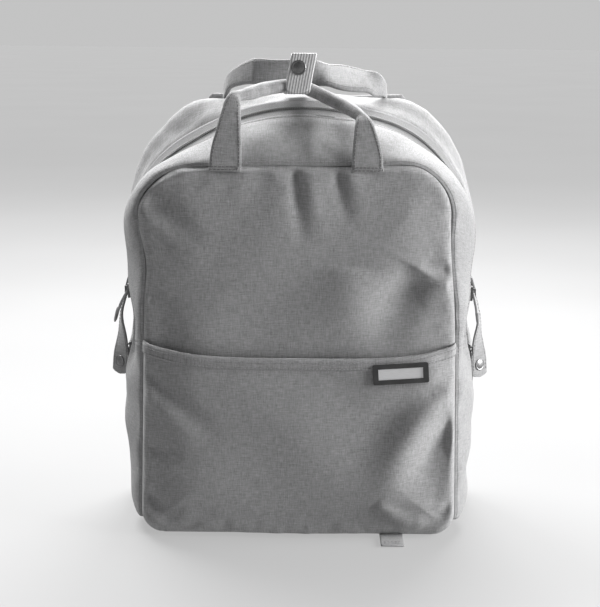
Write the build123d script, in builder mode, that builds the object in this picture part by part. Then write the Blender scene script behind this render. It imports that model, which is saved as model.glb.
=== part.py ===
"""School backpack, standing upright: a zipped front flap, a slip pocket, two carry handles held
together by a snap wrap, side zips, keeper straps and shoulder straps.

Frame: +Z up, the front of the bag faces -Y, the wearer's back is at +Y, and the origin is on the
flat bottom under the middle of the bag. All sizes are in millimetres.
"""
from build123d import *
from dataclasses import dataclass, replace
import os

os.makedirs("parts", exist_ok=True)

# ---- driving dimensions ------------------------------------------------------------------------
WALL = 5.0                     # padded fabric wall
SEAM_Y = -46.0                 # plane of the seam between front panel and gusset
ZIP_HALF = 9.0                 # the zip tapes lie between y = -9 and y = +9
BELLY_Y = 35.0                 # plane where the bag is widest
BACK_Y = 60.0                  # front face of the back panel
BACK_THICK = 6.0
FOLD_Z = 170.0                 # level at which the front flap folds forward
FOLD_GAP = 0.5
BOTTOM_TOP_Z = 14.0            # the bottom panel turns up to this level
POCKET_TOP_Z = 167.0
BINDING_H = 2.0
ZIP_SIDE_X = 148.0             # half width of the bag along the straight side runs of the zip
SIDE_ZIP_LOW, SIDE_ZIP_HIGH = 30.0, 164.0
COIL_GAP = 0.6                 # half the gap between the two rows of coil
COIL_EDGE = 2.2
HANDLE_X = -4.0                # the carry handles sit a little to one side
HANDLE_HALF = 58.5
HANDLE_STRAP_W = 25.0
WRAP_HALF_W = 12.0
WRAP_SPLIT_Y = 7.0
MAIN_SLIDER_Z = 206.0
SIDE_SLIDER_Z = 154.0
KEEPER_TOP_Z = 205.0
SIDES = {"left": -1, "right": 1}
BIG = 600.0                    # larger than the bag, for cutting blocks


@dataclass
class Outline:
    """One cross-section of the bag in an X-Z plane: flat bottom, upright sides, round shoulders
    and an arched top."""
    y: float
    foot_half: float           # half width just above the bottom corners
    side_half: float           # half width where the shoulder starts
    side_top: float            # height where the shoulder starts
    bend_x: float              # where the shoulder meets the top arch
    bend_z: float
    crown: float               # top of the arch
    corner: float              # bottom corner radius
    base: float = 0.0


SEAM = Outline(SEAM_Y, 136, 127, 288, 93, 320, 320.6, 20)
ZIP_FRONT = Outline(-ZIP_HALF, ZIP_SIDE_X, ZIP_SIDE_X, 258, 91, 338.5, 366, 26)
ZIP_REAR = replace(ZIP_FRONT, y=ZIP_HALF)
BELLY = Outline(BELLY_Y, 153, 153, 256, 85, 366, 371, 30)
BACK = Outline(BACK_Y, 147, 147, 264, 87, 367, 372, 26)


def inset(outline, amount, y=None, lift=None):
    """The same outline moved inwards by amount, and its bottom raised by lift."""
    return replace(
        outline,
        y=outline.y if y is None else y,
        foot_half=outline.foot_half - amount,
        side_half=outline.side_half - amount,
        bend_x=outline.bend_x - 0.5 * amount,
        bend_z=outline.bend_z - 0.9 * amount,
        crown=outline.crown - amount,
        corner=max(outline.corner - amount, 4),
        base=outline.base + (amount if lift is None else lift),
    )


def face_of(outline):
    """Flat face of the outline on its own plane, which faces forward."""
    foot, side = outline.foot_half, outline.side_half
    low = outline.base + outline.corner
    with BuildSketch(Plane.XZ.offset(-outline.y)) as face:
        with BuildLine():
            Line((-foot + outline.corner, outline.base), (foot - outline.corner, outline.base))
            RadiusArc((foot - outline.corner, outline.base), (foot, low), -outline.corner)
            Line((foot, low), (side, outline.side_top))
            TangentArc((side, outline.side_top), (outline.bend_x, outline.bend_z), tangent=(0, 1))
            ThreePointArc(
                (outline.bend_x, outline.bend_z),
                (0, outline.crown),
                (-outline.bend_x, outline.bend_z),
            )
            TangentArc(
                (-side, outline.side_top),
                (-outline.bend_x, outline.bend_z),
                tangent=(0, 1),
            )
            Line((-side, outline.side_top), (-foot, low))
            RadiusArc((-foot, low), (-foot + outline.corner, outline.base), -outline.corner)
        make_face()
    return face.sketch


def slab(y_low, y_high, z_low=-BIG, z_high=BIG):
    """Cutting block between two levels in Y and Z, over the whole width."""
    with BuildPart() as block:
        with BuildSketch(Plane.YZ.offset(-BIG / 2)):
            with Locations(((y_low + y_high) / 2, (z_low + z_high) / 2)):
                Rectangle(y_high - y_low, z_high - z_low)
        extrude(amount=BIG)
    return block.part


def loft_through(outlines):
    """Solid that runs through the outlines with straight sides between them."""
    with BuildPart() as body:
        loft(sections=[face_of(outline) for outline in outlines], ruled=True)
    return body.part


def save(piece, label):
    """Name the finished piece and write it."""
    piece.part.label = label
    export_step(piece.part, f"parts/{label}.step")


# ---- bag walls: one tube from the front seam to the back panel ---------------------------------
TUBE_OUTLINES = [SEAM, ZIP_FRONT, ZIP_REAR, BELLY, BACK]
tube_outer = loft_through(TUBE_OUTLINES)
tube_inner = loft_through([inset(outline, WALL) for outline in TUBE_OUTLINES])

with BuildPart() as tube_wall:
    add(tube_outer)
    add(tube_inner, mode=Mode.SUBTRACT)

with BuildPart() as bottom_panel:
    add(tube_wall.part)
    add(slab(SEAM_Y - 1, BACK_Y + 1, -10, BOTTOM_TOP_Z), mode=Mode.INTERSECT)
save(bottom_panel, "bottom_panel")

with BuildPart() as rear_gusset:
    add(tube_wall.part)
    add(slab(-ZIP_HALF, BACK_Y + 1, BOTTOM_TOP_Z, BIG), mode=Mode.INTERSECT)
    add(slab(-ZIP_HALF, ZIP_HALF, SIDE_ZIP_LOW, SIDE_ZIP_HIGH), mode=Mode.SUBTRACT)
    add(slab(-ZIP_HALF, ZIP_HALF, FOLD_Z, BIG), mode=Mode.SUBTRACT)
save(rear_gusset, "rear_gusset")

with BuildPart() as upper_front_gusset:
    add(tube_wall.part)
    add(slab(SEAM_Y - 1, -ZIP_HALF, FOLD_Z + FOLD_GAP, BIG), mode=Mode.INTERSECT)
save(upper_front_gusset, "upper_front_gusset")

for side, sign in SIDES.items():
    with BuildPart() as lower_side:
        add(tube_wall.part)
        add(slab(SEAM_Y - 1, -ZIP_HALF, BOTTOM_TOP_Z, FOLD_Z), mode=Mode.INTERSECT)
        with Locations((-sign * BIG / 2, 0, 0)):
            Box(BIG, BIG, BIG, mode=Mode.SUBTRACT)
    save(lower_side, f"lower_side_{side}")

# ---- back panel, with padding and the piece that holds the shoulder straps ---------------------
with BuildPart() as back_panel:
    extrude(face_of(BACK), amount=-BACK_THICK)
save(back_panel, "back_panel")

PAD_Y = BACK_Y + BACK_THICK
PAD_THICK = 9.0
BACK_PAD_X, BACK_PAD_Z = 43.0, 232.0
BACK_PAD_W, BACK_PAD_H, BACK_PAD_CORNER = 60.0, 196.0, 16.0
LUMBAR_Z, LUMBAR_W, LUMBAR_H, LUMBAR_CORNER = 82.0, 150.0, 84.0, 20.0
for side, sign in SIDES.items():
    with BuildPart() as back_pad:
        with BuildSketch(Plane.XZ.offset(-PAD_Y)):
            with Locations((sign * BACK_PAD_X, BACK_PAD_Z)):
                RectangleRounded(BACK_PAD_W, BACK_PAD_H, BACK_PAD_CORNER)
        extrude(amount=-PAD_THICK)
    save(back_pad, f"back_pad_{side}")

with BuildPart() as lumbar_pad:
    with BuildSketch(Plane.XZ.offset(-PAD_Y)):
        with Locations((0, LUMBAR_Z)):
            RectangleRounded(LUMBAR_W, LUMBAR_H, LUMBAR_CORNER)
    extrude(amount=-PAD_THICK)
save(lumbar_pad, "lumbar_pad")

YOKE_LOW, YOKE_HIGH = 338.0, 370.0
YOKE_W, YOKE_CORNER, YOKE_THICK = 188.0, 6.0, 5.0
with BuildPart() as strap_yoke:
    with BuildSketch(Plane.XZ.offset(-PAD_Y)):
        with Locations((0, (YOKE_LOW + YOKE_HIGH) / 2)):
            RectangleRounded(YOKE_W, YOKE_HIGH - YOKE_LOW, YOKE_CORNER)
    extrude(amount=-YOKE_THICK)
save(strap_yoke, "strap_yoke")

LUGGAGE_LOW, LUGGAGE_HIGH = 172.0, 228.0
LUGGAGE_HALF = 82.0
LUGGAGE_Y = PAD_Y + PAD_THICK + 6      # inner face of the strap
LUGGAGE_T, LUGGAGE_END_T = 2.0, 2.5
with BuildPart() as luggage_strap:
    with BuildSketch(Plane.XY.offset(LUGGAGE_LOW)):
        with Locations((0, (PAD_Y + LUGGAGE_Y + LUGGAGE_T) / 2)):
            Rectangle(2 * LUGGAGE_HALF, LUGGAGE_Y + LUGGAGE_T - PAD_Y)
        with Locations((0, (PAD_Y + LUGGAGE_Y) / 2)):
            Rectangle(2 * (LUGGAGE_HALF - LUGGAGE_END_T), LUGGAGE_Y - PAD_Y, mode=Mode.SUBTRACT)
    extrude(amount=LUGGAGE_HIGH - LUGGAGE_LOW)
save(luggage_strap, "luggage_strap")

WING_OUT_X, WING_IN_X, WING_THICK = 145.0, 119.0, 3.0
WING_OUT_LOW, WING_OUT_HIGH = 30.0, 74.0
WING_IN_LOW, WING_IN_HIGH = 38.0, 58.0
with BuildPart() as strap_wings:
    for sign in SIDES.values():
        with BuildSketch(Plane.XZ.offset(-PAD_Y)):
            with BuildLine():
                Polyline(
                    (sign * WING_OUT_X, WING_OUT_LOW),
                    (sign * WING_OUT_X, WING_OUT_HIGH),
                    (sign * WING_IN_X, WING_IN_HIGH),
                    (sign * WING_IN_X, WING_IN_LOW),
                    close=True,
                )
            make_face()
        extrude(amount=-WING_THICK)
save(strap_wings, "strap_wings")

# ---- front panel of the flap: a shallow pillow -------------------------------------------------
PILLOW_FRONT_Y = -58.0
PILLOW_RIM_Y = SEAM_Y - 4
PILLOW_FACE_INSET, PILLOW_SLOPE_INSET = 30.0, 9.0   # where its face and its slope begin
PILLOW_SLOPE = 2.0                                  # how far the slope drops back
LEDGE_TOP_Z = 174.0
pillow_outer = loft_through([
    inset(SEAM, PILLOW_FACE_INSET, PILLOW_FRONT_Y),
    inset(SEAM, PILLOW_SLOPE_INSET, PILLOW_FRONT_Y + PILLOW_SLOPE),
    inset(SEAM, 0, PILLOW_RIM_Y),
    SEAM,
])
pillow_inner = loft_through([
    inset(SEAM, PILLOW_FACE_INSET + 2, PILLOW_FRONT_Y + 4.5),
    inset(SEAM, PILLOW_SLOPE_INSET + 4, PILLOW_FRONT_Y + 4.5 + PILLOW_SLOPE - 0.5),
    inset(SEAM, WALL, PILLOW_RIM_Y),
    inset(SEAM, WALL, SEAM_Y),
])
with BuildPart() as upper_front_panel:
    add(pillow_outer)
    add(slab(-BIG / 2, SEAM_Y, FOLD_Z + FOLD_GAP, BIG), mode=Mode.INTERSECT)
    with BuildPart(mode=Mode.PRIVATE) as hollow:
        add(pillow_inner)
        add(slab(-BIG / 2, SEAM_Y, LEDGE_TOP_Z, BIG), mode=Mode.INTERSECT)
    add(hollow.part, mode=Mode.SUBTRACT)
save(upper_front_panel, "upper_front_panel")

# ---- lower front wall and the slip pocket in front of it ---------------------------------------
with BuildPart() as lower_front_wall:
    extrude(face_of(inset(SEAM, WALL + 0.3, SEAM_Y, lift=BOTTOM_TOP_Z)), amount=-4)
    add(slab(-BIG / 2, BIG / 2, -10, FOLD_Z), mode=Mode.INTERSECT)
save(lower_front_wall, "lower_front_wall")

POCKET_FRONT_Y = -68.0
POCKET_WALL = 4.0
POCKET_EDGE, POCKET_EDGE_DEPTH = 3.0, 8.0    # how the pocket's rounded rim steps in from the seam
POCKET_FACE_INSET, POCKET_FACE_LIFT = 24.0, 14.0
TAIL_X, TAIL_W, TAIL_T = 81.0, 20.0, 1.8
pocket_outer = loft_through([
    inset(SEAM, POCKET_FACE_INSET, POCKET_FRONT_Y, lift=POCKET_FACE_LIFT),
    inset(SEAM, POCKET_EDGE, POCKET_FRONT_Y + POCKET_EDGE_DEPTH, lift=POCKET_EDGE),
    SEAM,
])
pocket_inner = loft_through([
    inset(SEAM, POCKET_FACE_INSET + 2, POCKET_FRONT_Y + POCKET_WALL, lift=POCKET_FACE_LIFT + 2),
    inset(
        SEAM,
        POCKET_EDGE + POCKET_WALL,
        POCKET_FRONT_Y + POCKET_EDGE_DEPTH + 2,
        lift=POCKET_EDGE + POCKET_WALL,
    ),
    inset(SEAM, POCKET_WALL, SEAM_Y),
])
with BuildPart() as pocket_shell:
    add(pocket_outer)
    add(pocket_inner, mode=Mode.SUBTRACT)

with BuildPart() as slip_pocket_panel:
    add(pocket_shell.part)
    add(slab(-BIG / 2, SEAM_Y, -10, POCKET_TOP_Z), mode=Mode.INTERSECT)
    with Locations((TAIL_X, SEAM_Y - 8, TAIL_T / 2)):
        Box(TAIL_W + 0.6, 30, TAIL_T + 0.4, mode=Mode.SUBTRACT)
save(slip_pocket_panel, "slip_pocket_panel")

with BuildPart() as pocket_binding:
    add(pocket_shell.part)
    add(slab(-BIG / 2, SEAM_Y, POCKET_TOP_Z, POCKET_TOP_Z + BINDING_H), mode=Mode.INTERSECT)
save(pocket_binding, "pocket_binding")

TAIL_FRONT_Y = -74.0
with BuildPart() as webbing_tail:
    with BuildSketch(Plane.XY):
        with Locations((TAIL_X, (TAIL_FRONT_Y + SEAM_Y) / 2)):
            Rectangle(TAIL_W, SEAM_Y - TAIL_FRONT_Y)
    extrude(amount=TAIL_T)
    fillet(webbing_tail.edges().filter_by(Axis.Z).group_by(Axis.Y)[0], 2)
save(webbing_tail, "webbing_tail")

# ---- blank name plate in a frame, on the pocket ------------------------------------------------
LABEL_X, LABEL_Z = 84.0, 153.0
LABEL_W, LABEL_H = 46.0, 17.0
LABEL_TILT = 4.0
LABEL_PLATE_W, LABEL_PLATE_H = 37.0, 9.5
LABEL_FRAME_T, LABEL_PLATE_T = 2.0, 1.2
with BuildPart() as label_frame:
    with BuildSketch(Plane.XZ.offset(-POCKET_FRONT_Y)):
        with Locations((LABEL_X, LABEL_Z)):
            RectangleRounded(LABEL_W, LABEL_H, 1.5, rotation=LABEL_TILT)
            Rectangle(LABEL_PLATE_W, LABEL_PLATE_H, rotation=LABEL_TILT, mode=Mode.SUBTRACT)
    extrude(amount=LABEL_FRAME_T)
save(label_frame, "label_frame")

with BuildPart() as label_plate:
    with BuildSketch(Plane.XZ.offset(-POCKET_FRONT_Y)):
        with Locations((LABEL_X, LABEL_Z)):
            Rectangle(LABEL_PLATE_W, LABEL_PLATE_H, rotation=LABEL_TILT)
    extrude(amount=LABEL_PLATE_T)
save(label_plate, "label_plate")


# ---- zips: woven tapes and rows of coil, straight through the bag's side plane -----------------
def zip_band(outer_inset, inner_inset, y_low, y_high, z_low, z_high):
    """Band that follows the zip's outline at a given depth in the wall."""
    depth = y_high - y_low
    with BuildPart() as ring:
        extrude(face_of(inset(ZIP_FRONT, outer_inset, y_high)), amount=depth)
        extrude(face_of(inset(ZIP_FRONT, inner_inset, y_high)), amount=depth, mode=Mode.SUBTRACT)
        add(slab(-BIG / 2, BIG / 2, z_low, z_high), mode=Mode.INTERSECT)
    return ring.part


TAPE = (1.9, 3.1)
COIL = (1.0, 4.0)
MAIN_ZIP_LOW = FOLD_Z + FOLD_GAP

with BuildPart() as zip_tape_front:
    add(zip_band(*TAPE, -ZIP_HALF, -COIL_EDGE, MAIN_ZIP_LOW, BIG))
save(zip_tape_front, "zip_tape_front")

with BuildPart() as zip_coil_front:
    add(zip_band(*COIL, -COIL_EDGE, -COIL_GAP, MAIN_ZIP_LOW, BIG))
save(zip_coil_front, "zip_coil_front")

with BuildPart() as zip_tape_rear:
    add(zip_band(*TAPE, COIL_EDGE, ZIP_HALF, MAIN_ZIP_LOW, BIG))
save(zip_tape_rear, "zip_tape_rear")

with BuildPart() as zip_coil_rear:
    add(zip_band(*COIL, COIL_GAP, COIL_EDGE, MAIN_ZIP_LOW, BIG))
save(zip_coil_rear, "zip_coil_rear")

side_tapes = [
    zip_band(*TAPE, -ZIP_HALF, -COIL_EDGE, SIDE_ZIP_LOW, SIDE_ZIP_HIGH),
    zip_band(*COIL, -COIL_EDGE, -COIL_GAP, SIDE_ZIP_LOW, SIDE_ZIP_HIGH),
    zip_band(*COIL, COIL_GAP, COIL_EDGE, SIDE_ZIP_LOW, SIDE_ZIP_HIGH),
    zip_band(*TAPE, COIL_EDGE, ZIP_HALF, SIDE_ZIP_LOW, SIDE_ZIP_HIGH),
]
for side, sign in SIDES.items():
    with BuildPart() as side_zip:
        for band in side_tapes:
            add(band)
        with Locations((-sign * BIG / 2, 0, 0)):
            Box(BIG, BIG, BIG, mode=Mode.SUBTRACT)
    save(side_zip, f"side_zip_{side}")

# ---- zip sliders and their pulls ---------------------------------------------------------------
SLIDER_W, SLIDER_L = 9.0, 13.0
SLIDER_PLATE_T = 1.7
SLIDER_IN = ZIP_SIDE_X - WALL - SLIDER_PLATE_T   # inner face of the plate inside the bag
SLIDER_MID_IN = ZIP_SIDE_X - WALL
SLIDER_MID_OUT = ZIP_SIDE_X + 0.3
SLIDER_OUT = SLIDER_MID_OUT + SLIDER_PLATE_T
BAIL_OUT = SLIDER_OUT + 3.0
BRIDGE_HALF = 0.35
PIN_R = 0.6
PIN_X = SLIDER_OUT + 0.95
LEG_Y = 3.2
BAIL_W, BAIL_L, EYE_W, EYE_L = 3.0, 8.0, 1.9, 5.6
BRIDGE_L, BRIDGE_FROM_TOP = 4.0, 2.5


def slider(sign, z):
    """Two plates on either side of the tape, joined by a thin bridge between the coil rows,
    with a bail for the pull on the outer plate."""
    with BuildPart() as body:
        for x_low, x_high, width in (
            (SLIDER_IN, SLIDER_MID_IN, SLIDER_W - 1),
            (SLIDER_MID_OUT, SLIDER_OUT, SLIDER_W),
        ):
            with BuildSketch(Plane.YZ.offset(sign * x_low)):
                with Locations((0, z)):
                    RectangleRounded(width, SLIDER_L, 2.5)
            extrude(amount=sign * (x_high - x_low))
        bridge_x = sign * (SLIDER_MID_IN + SLIDER_MID_OUT) / 2
        with Locations((bridge_x, 0, z + SLIDER_L / 2 - BRIDGE_FROM_TOP)):
            Box(SLIDER_MID_OUT - SLIDER_MID_IN, 2 * BRIDGE_HALF, BRIDGE_L)
        with BuildSketch(Plane.XZ.offset(-BAIL_W / 2)):
            with Locations((sign * (SLIDER_OUT + BAIL_OUT) / 2, z)):
                Rectangle(BAIL_OUT - SLIDER_OUT, BAIL_L)
            with Locations((sign * PIN_X, z)):
                Rectangle(EYE_W, EYE_L, mode=Mode.SUBTRACT)
        extrude(amount=BAIL_W)
    return body


def wire_loop(sign, z, drop):
    """Bent wire: a pin through the bail and two legs that hang down from it."""
    plane = Plane(origin=(sign * PIN_X, 0, z), x_dir=(0, 1, 0), z_dir=(1, 0, 0))
    with BuildPart() as loop:
        with BuildLine(plane):
            path = FilletPolyline(
                (-LEG_Y, -drop), (-LEG_Y, 0), (LEG_Y, 0), (LEG_Y, -drop),
                radius=1.2,
                close=True,
            )
        with BuildSketch(Plane(origin=path @ 0, z_dir=path % 0)):
            Circle(PIN_R)
        sweep()
    return loop


CORD_DROP, CORD_END = 16.0, 28.0
CORD_END_TOP, CORD_END_FOOT, CORD_END_T = 2.5, 4.0, 2.8   # half widths, then the thickness
METAL_DROP, METAL_END = 9.0, 30.0
METAL_W, METAL_T = 7.5, 1.6
for side, sign in SIDES.items():
    main_slider = slider(sign, MAIN_SLIDER_Z)
    save(main_slider, f"main_slider_{side}")
    side_slider = slider(sign, SIDE_SLIDER_Z)
    save(side_slider, f"side_slider_{side}")

    cord_loop = wire_loop(sign, MAIN_SLIDER_Z, CORD_DROP)
    save(cord_loop, f"main_pull_cord_{side}")
    with BuildPart() as cord_end:
        with BuildSketch(Plane.YZ.offset(sign * (PIN_X - CORD_END_T / 2))):
            with BuildLine():
                Polyline(
                    (-CORD_END_TOP, MAIN_SLIDER_Z - CORD_DROP - PIN_R),
                    (CORD_END_TOP, MAIN_SLIDER_Z - CORD_DROP - PIN_R),
                    (CORD_END_FOOT, MAIN_SLIDER_Z - CORD_END),
                    (-CORD_END_FOOT, MAIN_SLIDER_Z - CORD_END),
                    close=True,
                )
            make_face()
        extrude(amount=sign * CORD_END_T)
        fillet(cord_end.edges().filter_by(Axis.X), 1)
    save(cord_end, f"main_pull_end_{side}")

    ring = wire_loop(sign, SIDE_SLIDER_Z, METAL_DROP)
    save(ring, f"side_pull_ring_{side}")
    with BuildPart() as metal_pull:
        with BuildSketch(Plane.YZ.offset(sign * (PIN_X - METAL_T / 2))):
            with Locations((0, SIDE_SLIDER_Z - (METAL_DROP + PIN_R + METAL_END) / 2)):
                RectangleRounded(METAL_W, METAL_END - METAL_DROP - PIN_R, 1.5)
        extrude(amount=sign * METAL_T)
    save(metal_pull, f"side_pull_{side}")

# ---- keeper straps on the sides ----------------------------------------------------------------
KEEPER_Y, KEEPER_W, KEEPER_T = 19.5, 18.0, 2.2
KEEPER_LOW_Z = 128.0
KEEPER_TOP_X, KEEPER_MID_X, KEEPER_LOW_X = 152.6, 159.5, 157.0
KEEPER_MID_Z = 166.0
KEEPER_CAP_R, KEEPER_CAP_T, KEEPER_CAP_RISE = 6.0, 2.0, 10.0
ANCHOR_T, ANCHOR_H = 6.0, 10.0
STUD_X, STUD_Z, STUD_R, STUD_T = 147.0, 140.0, 4.5, 6.0
for side, sign in SIDES.items():
    with BuildPart() as keeper_strap:
        with BuildSketch(Plane.XZ.offset(-(KEEPER_Y + KEEPER_W / 2))):
            with BuildLine():
                ThreePointArc(
                    (sign * KEEPER_TOP_X, KEEPER_TOP_Z),
                    (sign * KEEPER_MID_X, KEEPER_MID_Z),
                    (sign * KEEPER_LOW_X, KEEPER_LOW_Z),
                )
                Line(
                    (sign * KEEPER_LOW_X, KEEPER_LOW_Z),
                    (sign * (KEEPER_LOW_X + KEEPER_T), KEEPER_LOW_Z),
                )
                ThreePointArc(
                    (sign * (KEEPER_LOW_X + KEEPER_T), KEEPER_LOW_Z),
                    (sign * (KEEPER_MID_X + KEEPER_T), KEEPER_MID_Z),
                    (sign * (KEEPER_TOP_X + KEEPER_T), KEEPER_TOP_Z),
                )
                Line(
                    (sign * (KEEPER_TOP_X + KEEPER_T), KEEPER_TOP_Z),
                    (sign * KEEPER_TOP_X, KEEPER_TOP_Z),
                )
            make_face()
        extrude(amount=KEEPER_W)
    save(keeper_strap, f"keeper_strap_{side}")

    with BuildPart() as keeper_cap:
        with BuildSketch(Plane.YZ.offset(sign * (KEEPER_LOW_X + 2 * KEEPER_T))):
            with Locations((KEEPER_Y, KEEPER_LOW_Z + KEEPER_CAP_RISE)):
                Circle(KEEPER_CAP_R)
        extrude(amount=sign * KEEPER_CAP_T)
    save(keeper_cap, f"keeper_cap_{side}")

with BuildPart() as keeper_anchors:
    for sign in SIDES.values():
        anchor_x = KEEPER_TOP_X + KEEPER_T - ANCHOR_T / 2
        with Locations((sign * anchor_x, KEEPER_Y, KEEPER_TOP_Z + (ANCHOR_H + 1) / 2)):
            Box(ANCHOR_T, KEEPER_W, ANCHOR_H)
    add(tube_outer, mode=Mode.SUBTRACT)
save(keeper_anchors, "keeper_anchors")

with BuildPart() as keeper_studs:
    for sign in SIDES.values():
        with BuildSketch(Plane.YZ.offset(sign * STUD_X)):
            with Locations((KEEPER_Y, STUD_Z)):
                Circle(STUD_R)
        extrude(amount=sign * STUD_T)
    add(tube_outer, mode=Mode.SUBTRACT)
save(keeper_studs, "keeper_studs")

# ---- front carry handle ------------------------------------------------------------------------
GRIP_R = 6.5
STRAP_TOP_Z = 361.0
STRAP_FOOT_Y, STRAP_TOP_Y = -48.0, -42.0
STRAP_FOOT_Z, STRAP_WEB_T, STRAP_ANCHOR_H = 327.2, 3.4, 6.0
with BuildPart() as front_handle_anchors:
    for sign in SIDES.values():
        anchor_z = STRAP_FOOT_Z - 0.6 - STRAP_ANCHOR_H / 2
        with Locations((HANDLE_X + sign * HANDLE_HALF, STRAP_FOOT_Y, anchor_z)):
            Box(HANDLE_STRAP_W, STRAP_WEB_T, STRAP_ANCHOR_H)
save(front_handle_anchors, "front_handle_anchors")

with BuildPart() as front_handle_straps:
    for sign in SIDES.values():
        with BuildSketch(Plane.YZ.offset(HANDLE_X + sign * HANDLE_HALF - HANDLE_STRAP_W / 2)):
            with BuildLine():
                Polyline(
                    (STRAP_FOOT_Y - STRAP_WEB_T / 2, STRAP_FOOT_Z),
                    (STRAP_FOOT_Y + STRAP_WEB_T / 2, STRAP_FOOT_Z),
                    (STRAP_TOP_Y + STRAP_WEB_T / 2, STRAP_TOP_Z - 2),
                    (STRAP_TOP_Y - STRAP_WEB_T / 2, STRAP_TOP_Z - 2),
                    close=True,
                )
            make_face()
        extrude(amount=HANDLE_STRAP_W)
save(front_handle_straps, "front_handle_straps")

GRIP_END_Y, GRIP_END_Z = -36.0, 378.0
GRIP_MID_Y, GRIP_MID_Z = 6.0, 389.0
GRIP_BEND_R, GRIP_MID_R = 9.0, 35.0
with BuildPart() as front_handle_grip:
    with BuildLine():
        grip_path = FilletPolyline(
            (HANDLE_X - HANDLE_HALF, STRAP_TOP_Y, STRAP_TOP_Z),
            (HANDLE_X - HANDLE_HALF + 2, GRIP_END_Y, GRIP_END_Z),
            (HANDLE_X, GRIP_MID_Y, GRIP_MID_Z),
            (HANDLE_X + HANDLE_HALF - 2, GRIP_END_Y, GRIP_END_Z),
            (HANDLE_X + HANDLE_HALF, STRAP_TOP_Y, STRAP_TOP_Z),
            radius=[GRIP_BEND_R, GRIP_MID_R, GRIP_BEND_R],
        )
    with BuildSketch(Plane(origin=grip_path @ 0, z_dir=grip_path % 0)):
        Circle(GRIP_R)
    sweep()
save(front_handle_grip, "front_handle_grip")

# ---- rear carry handle: a wide band that leans forward to the wrap -----------------------------
REAR_HALF = 70.0
REAR_END_Y, REAR_MID_Y, REAR_THICK = 57.0, 20.5, 6.0
REAR_X = 1.0
REAR_FOOT_Z, REAR_END_Z, REAR_TOP_Z, REAR_ARCH_Z = 374.0, 382.0, 403.0, 383.0
REAR_TOP_HALF = 42.0
with BuildPart() as rear_handle:
    with BuildSketch(Plane.XY.offset(REAR_FOOT_Z - 0.5)):
        with BuildLine():
            ThreePointArc(
                (REAR_X - REAR_HALF, REAR_END_Y),
                (REAR_X, REAR_MID_Y),
                (REAR_X + REAR_HALF, REAR_END_Y),
            )
            Line((REAR_X + REAR_HALF, REAR_END_Y), (REAR_X + REAR_HALF, REAR_END_Y - REAR_THICK))
            ThreePointArc(
                (REAR_X + REAR_HALF, REAR_END_Y - REAR_THICK),
                (REAR_X, REAR_MID_Y - REAR_THICK),
                (REAR_X - REAR_HALF, REAR_END_Y - REAR_THICK),
            )
            Line((REAR_X - REAR_HALF, REAR_END_Y - REAR_THICK), (REAR_X - REAR_HALF, REAR_END_Y))
        make_face()
    extrude(amount=REAR_TOP_Z - REAR_FOOT_Z + 10)
    with BuildSketch(Plane.XZ.offset(BIG / 2)):
        with BuildLine():
            Polyline(
                (REAR_X - REAR_HALF, REAR_FOOT_Z),
                (REAR_X - REAR_HALF, REAR_END_Z),
                (REAR_X - REAR_TOP_HALF, REAR_TOP_Z),
                (REAR_X + REAR_TOP_HALF, REAR_TOP_Z),
                (REAR_X + REAR_HALF, REAR_END_Z),
                (REAR_X + REAR_HALF, REAR_FOOT_Z),
            )
            ThreePointArc(
                (REAR_X + REAR_HALF, REAR_FOOT_Z),
                (REAR_X, REAR_ARCH_Z),
                (REAR_X - REAR_HALF, REAR_FOOT_Z),
            )
        make_face()
    extrude(amount=-BIG, mode=Mode.INTERSECT)
save(rear_handle, "rear_handle")

# ---- snap wrap around both handles -------------------------------------------------------------
WRAP_X = -2.0
WRAP_T = 2.5
WRAP_LOW, WRAP_HIGH = 376.0, 409.0
WRAP_FRONT, WRAP_BACK = -15.5, 30.0
WRAP_CORNER, WRAP_GAP = 4.0, 0.25
WRAP_PARTS = {
    "wrap_front": (WRAP_FRONT - 1, WRAP_SPLIT_Y - WRAP_GAP),
    "wrap_rear": (WRAP_SPLIT_Y + WRAP_GAP, WRAP_BACK + 1),
}
for name, (y_low, y_high) in WRAP_PARTS.items():
    with BuildPart() as wrap_half:
        with BuildSketch(Plane.YZ.offset(WRAP_X - WRAP_HALF_W)):
            with Locations(((WRAP_FRONT + WRAP_BACK) / 2, (WRAP_LOW + WRAP_HIGH) / 2)):
                RectangleRounded(WRAP_BACK - WRAP_FRONT, WRAP_HIGH - WRAP_LOW, WRAP_CORNER)
                RectangleRounded(
                    WRAP_BACK - WRAP_FRONT - 2 * WRAP_T,
                    WRAP_HIGH - WRAP_LOW - 2 * WRAP_T,
                    WRAP_CORNER / 2,
                    mode=Mode.SUBTRACT,
                )
        extrude(amount=2 * WRAP_HALF_W)
        add(slab(y_low, y_high), mode=Mode.INTERSECT)
    save(wrap_half, name)

TONGUE_LOW_Z, TONGUE_T, TONGUE_GAP = 386.0, 2.0, 0.3
with BuildPart() as wrap_tongue:
    with BuildSketch(Plane.XZ.offset(-WRAP_FRONT + TONGUE_GAP)):
        with Locations((WRAP_X, (TONGUE_LOW_Z + WRAP_HIGH) / 2)):
            Rectangle(2 * WRAP_HALF_W, WRAP_HIGH - TONGUE_LOW_Z)
    extrude(amount=TONGUE_T)
save(wrap_tongue, "wrap_tongue")

SNAP_Z, SNAP_R, SNAP_T = 398.0, 6.2, 2.0
WRAP_STUD_R, WRAP_STUD_T = 4.0, 1.4
with BuildPart() as wrap_snap_cap:
    with BuildSketch(Plane.XZ.offset(-WRAP_FRONT + TONGUE_GAP + TONGUE_T)):
        with Locations((WRAP_X, SNAP_Z)):
            Circle(SNAP_R)
    extrude(amount=SNAP_T)
    fillet(wrap_snap_cap.faces().sort_by(Axis.Y)[0].edges(), 0.8)
save(wrap_snap_cap, "wrap_snap_cap")

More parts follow.
